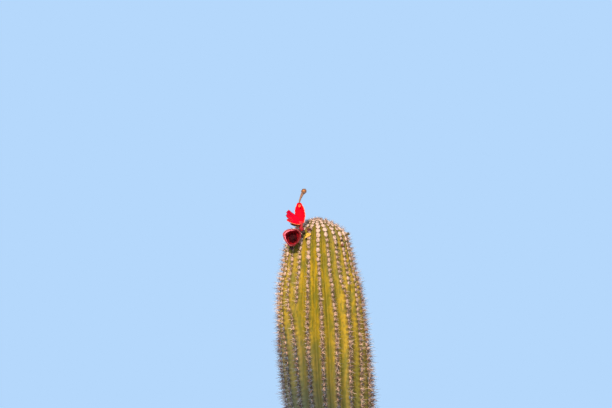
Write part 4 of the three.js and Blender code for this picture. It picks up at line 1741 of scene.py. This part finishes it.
@dataclass
class DriedFlower:
    """The withered flower on the husk's tip: a thin tube that ends in a crumpled knob."""

    tip: Vector
    materials: list[Material]
    base: Vector = spot(0.0003, 0, 0.0034)
    knob: Vector = spot(0.015, 0.001, 0.035)
    foot: Vector = spot(-0.0004, 0, -0.003)
    bend: Vector = spot(-0.0016, 0, 0.0006)
    mouth: Vector = spot(-0.08, -0.95, 0.3)
    tube: Tube = Tube(
        (0.0022, 0.0024, 0.0027, 0.0031, 0.0037, 0.0044, 0.0054, 0.0056), 44, 26, (6, 0.13), 3.0, (13, 0.06),
        Lumps(0.001, 260.0, 6.1),
    )
    knob_radius: float = 0.0078
    petals: int = 19
    petal_width: float = 0.0054
    petal_thickness: float = 0.0008
    heart_radius: float = 0.0036
    seed: int = 3

    def petal_meshes(self, middle: Vector, mouth: Vector) -> list[Mesh]:
        """Makes the dried petals, which close round the knob like fingers."""
        draws = np.random.default_rng(self.seed)
        aside = mouth.orthogonal().normalized()
        other = mouth.cross(aside)
        meshes = []
        for number in range(self.petals):
            turn = number * GOLDEN_ANGLE + draws.uniform(-0.2, 0.2)
            away = aside * math.cos(turn) + other * math.sin(turn)
            radius = self.knob_radius * draws.uniform(0.86, 1.12)
            foot = middle + (away * 0.72 - mouth * 0.55) * radius
            mid = middle + (away * 1.08 + mouth * 0.15) * radius
            top = middle + (mouth * draws.uniform(0.65, 1.0) + away * draws.uniform(0.45, 1.0)) * radius
            petal = Leaf(foot, mid, top, away, self.petal_width, self.petal_thickness)
            meshes.append(petal.mesh(f"flower_petal_{number}", float(number)))
        return meshes

    def build(self) -> Piece:
        """Makes the tube, the knob and its petals as one piece."""
        start = self.tip + self.base
        middle = start + self.knob
        mouth = self.mouth.normalized()
        deep = mouth * self.knob_radius
        line = [start + self.foot, start.lerp(middle, 0.5) + self.bend, middle]
        knob = Pebble(middle - deep * 0.8, middle + deep * 0.55, self.knob_radius)
        # the orange heart: dried stamens, and partly a painted glint in the knob's mouth
        heart = Pebble(middle + mouth * 0.001, middle + deep * 1.05, self.heart_radius, 0.2)
        meshes = [self.tube.mesh("flower_tube", line), *self.petal_meshes(middle, mouth)]
        meshes += [knob.mesh("flower_knob", 4.0), heart.mesh("flower_heart", 8.0, 1)]
        return finish_piece(joined("dried_bloom", meshes, self.materials), "dried_flower", "dried_flower")


@dataclass
class OpenFruit:
    """A fruit opened by birds: a thick pink rim round a dark wet hollow, with pulp and seeds left in it.

    Each step along it is a share of its length, a radius, and how far the upper edge is drawn in there. Each
    crease is a line of painted shade over the rim: a depth, a place on the way over the rim, and a width.
    """

    seat: CrestFrame
    finishes: Finishes
    stand: float = 0.0058
    length: float = 0.046
    aim: Vector = spot(-0.12, -0.97, 0.16)
    outer: Steps = (
        (0.0, 0.006), (0.06, 0.0092), (0.12, 0.013), (0.25, 0.0185), (0.4, 0.023),
        (0.58, 0.0262), (0.72, 0.0284), (0.85, 0.0294), (0.95, 0.0291), (1.0, 0.0283),
    )
    rim: Steps = (
        (1.035, 0.0274, 0.0004), (1.045, 0.0263, 0.0018), (1.03, 0.0252, 0.0036), (1.0, 0.0245, 0.0046),
    )
    inner: Steps = (
        (0.9, 0.024, 0.0048), (0.75, 0.0232, 0.004), (0.55, 0.0205, 0.002),
        (0.4, 0.0165), (0.3, 0.0115), (0.25, 0.006),
    )
    pulp_steps: Steps = (
        (0.255, 0.004), (0.27, 0.0108), (0.34, 0.0142), (0.42, 0.014), (0.47, 0.0125),
        (0.52, 0.01), (0.55, 0.0075), (0.57, 0.0048), (0.578, 0.002),
    )
    stuck_steps: Steps = ((0.42, 0.0172), (0.55, 0.0203), (0.68, 0.0222))
    between: int = 4
    sides: int = 96
    corner: float = 0.1
    scallop: float = 0.018
    scallop_from: float = 0.9
    drawn_turn: float = 2.45
    drawn_back: float = 0.6
    wave: float = 0.0016
    lumps: Lumps = Lumps(0.0013, 110.0, 5.5)
    wrinkles: Lumps = Lumps(0.0006, 420.0, 1.5)
    # painted light over the rim: pink and lit on the upper left, a painted highlight spot low down, maroon
    # and shaded on the right
    stale_and_shaded: float = 0.15
    fresh_and_lit_turn: float = 0.45
    highlight_spot: float = 0.55
    highlight_spot_turn: float = 1.35
    # two creases of painted shade over the rim: at its outer edge and across its middle
    creases: Steps = ((1.1, 0.46, 0.2), (1.1, 0.0, 0.12))
    pulp_middle: float = 0.3
    pulp_lumps: Lumps = Lumps(0.0036, 150.0, 7.7)
    pulp_wrinkles: Lumps = Lumps(0.0014, 420.0, 3.2)
    seeds: int = 200
    seed_size: float = 0.0021
    seed_width: float = 0.8
    seed_depth: float = 0.62
    seed_tilt: float = 0.5
    seed: int = 9

    def deep(self, share: float) -> Array:
        """The point on the fruit's axis at a share of its length."""
        return np.array(self.seat.at(0, self.stand)) + np.array(self.aim.normalized()) * self.length * share

    def filled(self, steps: Steps | Array) -> Array:
        """Steps as an array, none drawn in unless it says so."""
        return np.array([(*step, 0.0)[:3] for step in steps])

    def rings(self, steps: Steps | Array, wave: float = 0.0) -> Array:
        """Rings of the rounded three-cornered section.

        Args:
            steps: steps along the fruit.
            wave: how far the edge of the mouth wavers.

        Returns:
            Points by ring and side.
        """
        aim = self.aim.normalized()
        right = Vector((0, 0, 1)).cross(aim).normalized()
        turn = around(self.sides)
        at, radius, drawn = (part[:, None] for part in self.filled(steps).T)
        corner = 1 + self.corner * np.minimum(at, 1.0) * np.cos(3 * (turn + math.pi / 2))
        scallop = 1 + self.scallop * np.sin(turn * 7 + 1.0) * (at > self.scallop_from)
        upper = np.cos(turn - self.drawn_turn)
        reach = radius * corner * scallop - drawn * np.where(upper > 0, upper, upper * self.drawn_back)
        lag = wave * (np.sin(turn * 2 + 0.7) + 0.5 * np.sin(turn * 5)) * smooth((at - 0.6) / 0.4)
        push = (at * self.length + lag)[..., None] * np.array(aim)
        return hoops(self.deep(0.0) + push, np.array(right), np.array(aim.cross(right)), reach)

    def freshness_and_light(self, across_rim: Array) -> Array:
        """How pink the rim is round it and at shares of the way over it: partly freshly torn flesh, partly
        painted highlight on one side and in a spot, with two creases of painted shade.
        """
        turn = around(self.sides)
        fresh = self.stale_and_shaded + (1 - self.stale_and_shaded) * (0.5 - 0.5 * np.cos(turn + self.fresh_and_lit_turn))
        fresh = fresh + self.highlight_spot * np.maximum(np.cos(turn + self.highlight_spot_turn), 0) ** 4
        for depth, place, width in self.creases:
            fresh = fresh - depth * np.exp(-(((across_rim - place) / width) ** 2))
        return fresh

    def shell(self) -> Piece:
        """Makes the thick wall, with its outside, rim and inside."""
        steps = self.filled([*self.outer, *self.rim, *self.inner])
        turns = np.linspace(0, len(steps) - 1, (len(steps) - 1) * self.between + 1)
        profile = np.stack([np.interp(turns, np.arange(len(steps)), part) for part in steps.T], axis=1)
        rings = self.lumps.on(self.rings(profile, self.wave), self.deep(0.5))
        rings = self.wrinkles.on(rings, self.deep(0.5))
        rim_start = (len(self.outer) - 1) * self.between
        rim_end = (len(self.outer) + len(self.rim) - 1) * self.between
        number = np.arange(len(rings))[:, None]
        walls = np.where(number < rim_start, Zone.OUTSIDE, Zone.INSIDE)
        zones = np.where((number >= rim_start) & (number < rim_end), Zone.RIM, walls)
        mesh = shell_mesh("open_fruit_wall", rings, zones[:-1])
        fresh = self.freshness_and_light((number - rim_start) / (rim_end - rim_start))
        store(mesh, "fresh", np.append(fresh, [0.5, 0.5]))
        piece = new_piece("open_fruit_wall", mesh, self.finishes.rind)
        return finish_piece(piece, "fruit_rind", "open_fruit")

    def pulp_rings(self) -> Array:
        """Rings of the lumpy pulp that is left on the floor of the hollow."""
        middle = self.deep(self.pulp_middle)
        return self.pulp_wrinkles.on(self.pulp_lumps.on(self.rings(self.pulp_steps), middle), middle)

    def pulp(self) -> Piece:
        """Makes the pulp."""
        mesh = shell_mesh("pulp", self.pulp_rings())
        return finish_piece(new_piece("pulp", mesh, [self.finishes.pulp]), "pulp", "fruit_pulp")

    def seed_tree(self) -> Grower:
        """The tree that sets a seed at each point."""
        grower = Grower("fruit_seeds")
        size = grower.setting("Size", "Float", self.seed_size)
        pick = grower.setting("Seed", "Int", self.seed)
        shape = {"Radius": 0.5, "Subdivisions": 2}
        ball = grower.bench.node("GeometryNodeMeshIcoSphere", {}, shape, "Mesh")
        width = size * grower.chance(pick, 0.75, 1.15)
        scale = grower.sized(width, width * self.seed_width, width * self.seed_depth)
        turn = grower.facing(grower.attribute("out", "FLOAT_VECTOR"))
        solid = grower.planted(grower.points, ball, turn, scale)
        grower.give(grower.painted(solid, {self.finishes.seed: True}))
        return grower

    def seeds_piece(self) -> Piece:
        """Sets the seeds in the pulp and on the wall behind it."""
        draws = np.random.default_rng(self.seed)
        rings = self.pulp_rings()[2:]
        ring = draws.integers(0, len(rings), self.seeds)
        place = rings[ring, draws.integers(0, self.sides, self.seeds)]
        wall = self.rings(self.stuck_steps)
        few = self.seeds // 3
        stuck = wall[draws.integers(0, len(wall), few), draws.integers(0, self.sides, few)]
        point = np.concatenate([place, stuck])
        out = np.array(self.aim.normalized()) + draws.normal(0, self.seed_tilt, (len(point), 3))
        points = point_cloud("seed_points", point, {"out": out})
        mesh = shaded_smooth(self.seed_tree().run(points, {"Size": self.seed_size, "Seed": self.seed}))
        return finish_piece(new_piece("fruit_seeds", mesh), "pulp", "fruit_pulp")

    def build(self) -> list[Piece]:
        """Makes the wall, the pulp and the seeds."""
        return [self.shell(), self.pulp(), self.seeds_piece()]


@dataclass(frozen=True)
class Scrap:
    """A dried scrap on a rib.

    Its place is a rib, a depth below the tip and a shift across the rib. Its build is a number of curled
    scales round a lumpy core, how far they spread, how far they stand out, and their width. A trailing one
    has scales that run down to its left over the rib's side.
    """

    name: str
    strand: int
    depth: float
    shift: float
    scales: int
    spread: float
    rise: float
    width: float
    finish: str = "crust"
    slot: str = "scar_dark"
    nodes: tuple[str, ...] = ()
    lean_up: float = 0.3
    trail: float = 0.0


@dataclass
class DriedScraps:
    """What is left where other flowers and fruit fell off: curled dry scales, a yellow one and a bud, and
    three dark crusts round the fruit that are partly dried remnants and partly dark stand-ins for shade.
    """

    column: Column
    finishes: Finishes
    # name, rib, depth, shift, scales, spread, rise, width
    scraps: tuple[Scrap, ...] = (
        Scrap(
            "yellow_scale", 21, 0.06, 0.003, 8, 0.008, 0.005, 0.008,
            "ochre", "scar_yellow", ("fruit_scar_front",), trail=0.016,
        ),
        Scrap(
            "scar_front_left", 21, 0.0455, 0.003, 9, 0.0088, 0.0078, 0.0086,
            "garnet", nodes=("dried_scar_left",), trail=0.006,
        ),
        Scrap("scar_right", 3, 0.074, 0.0, 8, 0.0044, 0.006, 0.005, nodes=("dried_scar_right",)),
        Scrap(
            "dried_bud", 4, 0.056, 0.0, 9, 0.0042, 0.018, 0.0054,
            "bud", "dried_bud", ("dried_bud_right",), lean_up=-0.1,
        ),
        # dark crusts that partly stand in for the shade under the husk's neck, beside the cup and under the
        # cup
        Scrap("crust_and_shade_under_neck", 20, 0.051, -0.006, 10, 0.0075, 0.011, 0.008),
        Scrap("crust_and_shade_beside_cup", 20, 0.064, -0.003, 10, 0.0078, 0.011, 0.008),
        Scrap("crust_and_shade_under_cup", 19, 0.104, 0.001, 9, 0.007, 0.012, 0.008),
        Scrap("scar_right_low", 3, 0.092, 0.004, 7, 0.005, 0.005, 0.006, "russet"),
    )
    core: float = 0.62
    core_sink: float = 0.003
    core_rough: float = 0.2
    scale_turn: float = 0.4
    trailing: int = 3
    seed: int = 21

    def build(self) -> list[Piece]:
        """Makes each scrap."""
        return [self.scrap(scrap, number) for number, scrap in enumerate(self.scraps)]

    def scrap(self, scrap: Scrap, number: int) -> Piece:
        """Makes one scrap from curled scales round a lumpy core."""
        seat = self.column.seat(scrap.strand, scrap.depth)
        out, across, along = (Vector(v[0]) for v in (seat.out, seat.across, seat.along))
        up = (out + Vector((0, 0, scrap.lean_up))).normalized()
        foot = seat.at(scrap.shift, 0.001)
        draws = np.random.default_rng(self.seed + number)
        sunk, top = foot - out * self.core_sink, foot + up * scrap.rise * 0.8
        core = Pebble(sunk, top, scrap.spread * self.core, self.core_rough)
        meshes = [core.mesh(scrap.name + "_core", 3.0 + number)]
        for count in range(scrap.scales):
            angle = count * GOLDEN_ANGLE + self.scale_turn
            away = (across * math.cos(angle) + along * math.sin(angle)) * scrap.spread
            reach = up * scrap.rise * draws.uniform(0.8, 1.15)
            start = foot + away * 0.45
            mid = start + reach * 0.6 + away * draws.uniform(0.1, 0.45)
            end = mid + reach * 0.35 + away * draws.uniform(-0.3, 0.5)
            scale = Leaf(start, mid, end, away.normalized(), scrap.width)
            meshes.append(scale.mesh(f"{scrap.name}_scale_{count}", count + 7.0 * number))
        for count in range(self.trailing if scrap.trail else 0):
            way = across * scrap.trail - along * scrap.trail * (0.35 + 0.25 * count)
            start = foot + up * scrap.rise * (0.2 + 0.25 * count) - way * 0.35
            mid, end = start + way * 0.55 + up * 0.001, start + way * 1.15 - out * 0.003
            scale = Leaf(start, mid, end, up, scrap.width * 0.9)
            meshes.append(scale.mesh(f"{scrap.name}_trail_{count}", count + 3.0))
        piece = joined(scrap.name, meshes, [getattr(self.finishes, scrap.finish)])
        return finish_piece(piece, scrap.slot, *scrap.nodes)


# Studio
# Studio


def placed(data: bpy.types.ID, where: Sequence[float], turn: Sequence[float]) -> Piece:
    """Links a lamp or a camera at a place, with a turn."""
    stand = bpy.data.objects.new(data.name, data)
    stand.location = where
    stand.rotation_euler = turn
    bpy.context.scene.collection.objects.link(stand)
    return stand


@dataclass(frozen=True)
class Lamp:
    """A square area light that faces the plant."""

    name: str
    where: Triple
    size: float
    power: float
    colour: Colour


@dataclass
class Studio:
    """A pale floor, a pale surround, soft lights and the camera."""

    look_from: Vector = spot(-0.175, -11.33, 1.6055)
    look_up: float = math.radians(4.02)
    lens: float = 200.0
    sensor: float = 36.0
    far: float = 100.0
    surround: Colour = (0.462, 0.686, 0.975)
    floor_finish: PlainFinish = PlainFinish((0.36, 0.352, 0.335), (0.3384, 0.33088, 0.3149), 3.0, 0.8)
    floor_size: float = 60.0
    floor_drop: float = 0.001
    aim: Vector = spot(-0.06, 0.0, 1.75)
    lamps: tuple[Lamp, ...] = (
        Lamp("key", (-1.9, -7.0, 6.0), 0.6, 1120.0, (1.0, 0.86, 0.66)),
        Lamp("fill", (5.2, -2.6, 3.4), 2.6, 150.0, (1.0, 0.9, 0.8)),
        Lamp("back", (1.6, 5.6, 4.2), 2.4, 300.0, (1.0, 0.93, 0.84)),
        Lamp("side", (-5.2, 1.6, 3.6), 2.4, 110.0, (1.0, 0.93, 0.84)),
    )

    def light(self, lamp: Lamp) -> None:
        """Sets up a lamp."""
        data = bpy.data.lights.new(lamp.name, "AREA")
        data.size = lamp.size
        data.energy = lamp.power
        data.color = lamp.colour
        aim = (self.aim - Vector(lamp.where)).to_track_quat("-Z", "Y").to_euler()
        placed(data, lamp.where, aim)

    def camera(self) -> None:
        """Sets up the camera at the photograph's viewing angle."""
        data = bpy.data.cameras.new("camera")
        data.lens = self.lens
        data.sensor_width = self.sensor
        data.clip_end = self.far
        turn = (math.pi / 2 + self.look_up, 0, 0)
        bpy.context.scene.camera = placed(data, self.look_from, turn)

    def surroundings(self) -> None:
        """Sets up the pale surround and how colours are shown."""
        scene = bpy.context.scene
        scene.view_settings.view_transform = "Standard"
        scene.view_settings.look = "None"
        scene.cycles.denoising_prefilter = "NONE"
        scene.world = bpy.data.worlds.new("surround")
        scene.world.use_nodes = True
        sky = scene.world.node_tree.nodes["Background"]
        sky.inputs["Color"].default_value = (*self.surround, 1.0)
        sky.inputs["Strength"].default_value = 1.0

    def floor(self) -> None:
        """Lays the floor."""
        half = self.floor_size / 2
        corners = [(-half, -half, 0), (half, -half, 0), (half, half, 0), (-half, half, 0)]
        mesh = bpy.data.meshes.new("floor")
        mesh.from_pydata(corners, [], [(0, 1, 2, 3)])
        floor = new_piece("floor", mesh, [dressed("floor", self.floor_finish)])
        floor.location.z = -self.floor_drop

    def build(self) -> None:
        """Sets up everything that isn't the plant."""
        self.camera()
        self.surroundings()
        self.floor()
        for lamp in self.lamps:
            self.light(lamp)


def main() -> None:
    """Builds the plant from the column outwards, then the studio, and reports each piece."""
    logging.basicConfig(level=logging.INFO, format="%(name)s: %(message)s")
    column = Column()
    finishes = Finishes()
    rows = CushionRows(column)
    husk = SplitHusk(column.seat(20, 0.045), finishes.husk)
    pieces = [
        ColumnSkin(column, rows, finishes.skin).build(),
        CrownFelt(column, finishes.warm_felt).build(),
        Cushions(rows, finishes).build(),
        *Spines(rows, finishes).build(),
        husk.build(),
        DriedFlower(husk.upright_tip(), [finishes.dry, finishes.dry_tip]).build(),
        *OpenFruit(column.seat(19, 0.072), finishes).build(),
        *DriedScraps(column, finishes).build(),
    ]
    for piece in pieces:
        piece.data.calc_loop_triangles()
        LOG.info("%s: %d triangles", piece.name, len(piece.data.loop_triangles))
    Studio().build()


if __name__ == "__main__":
    main()
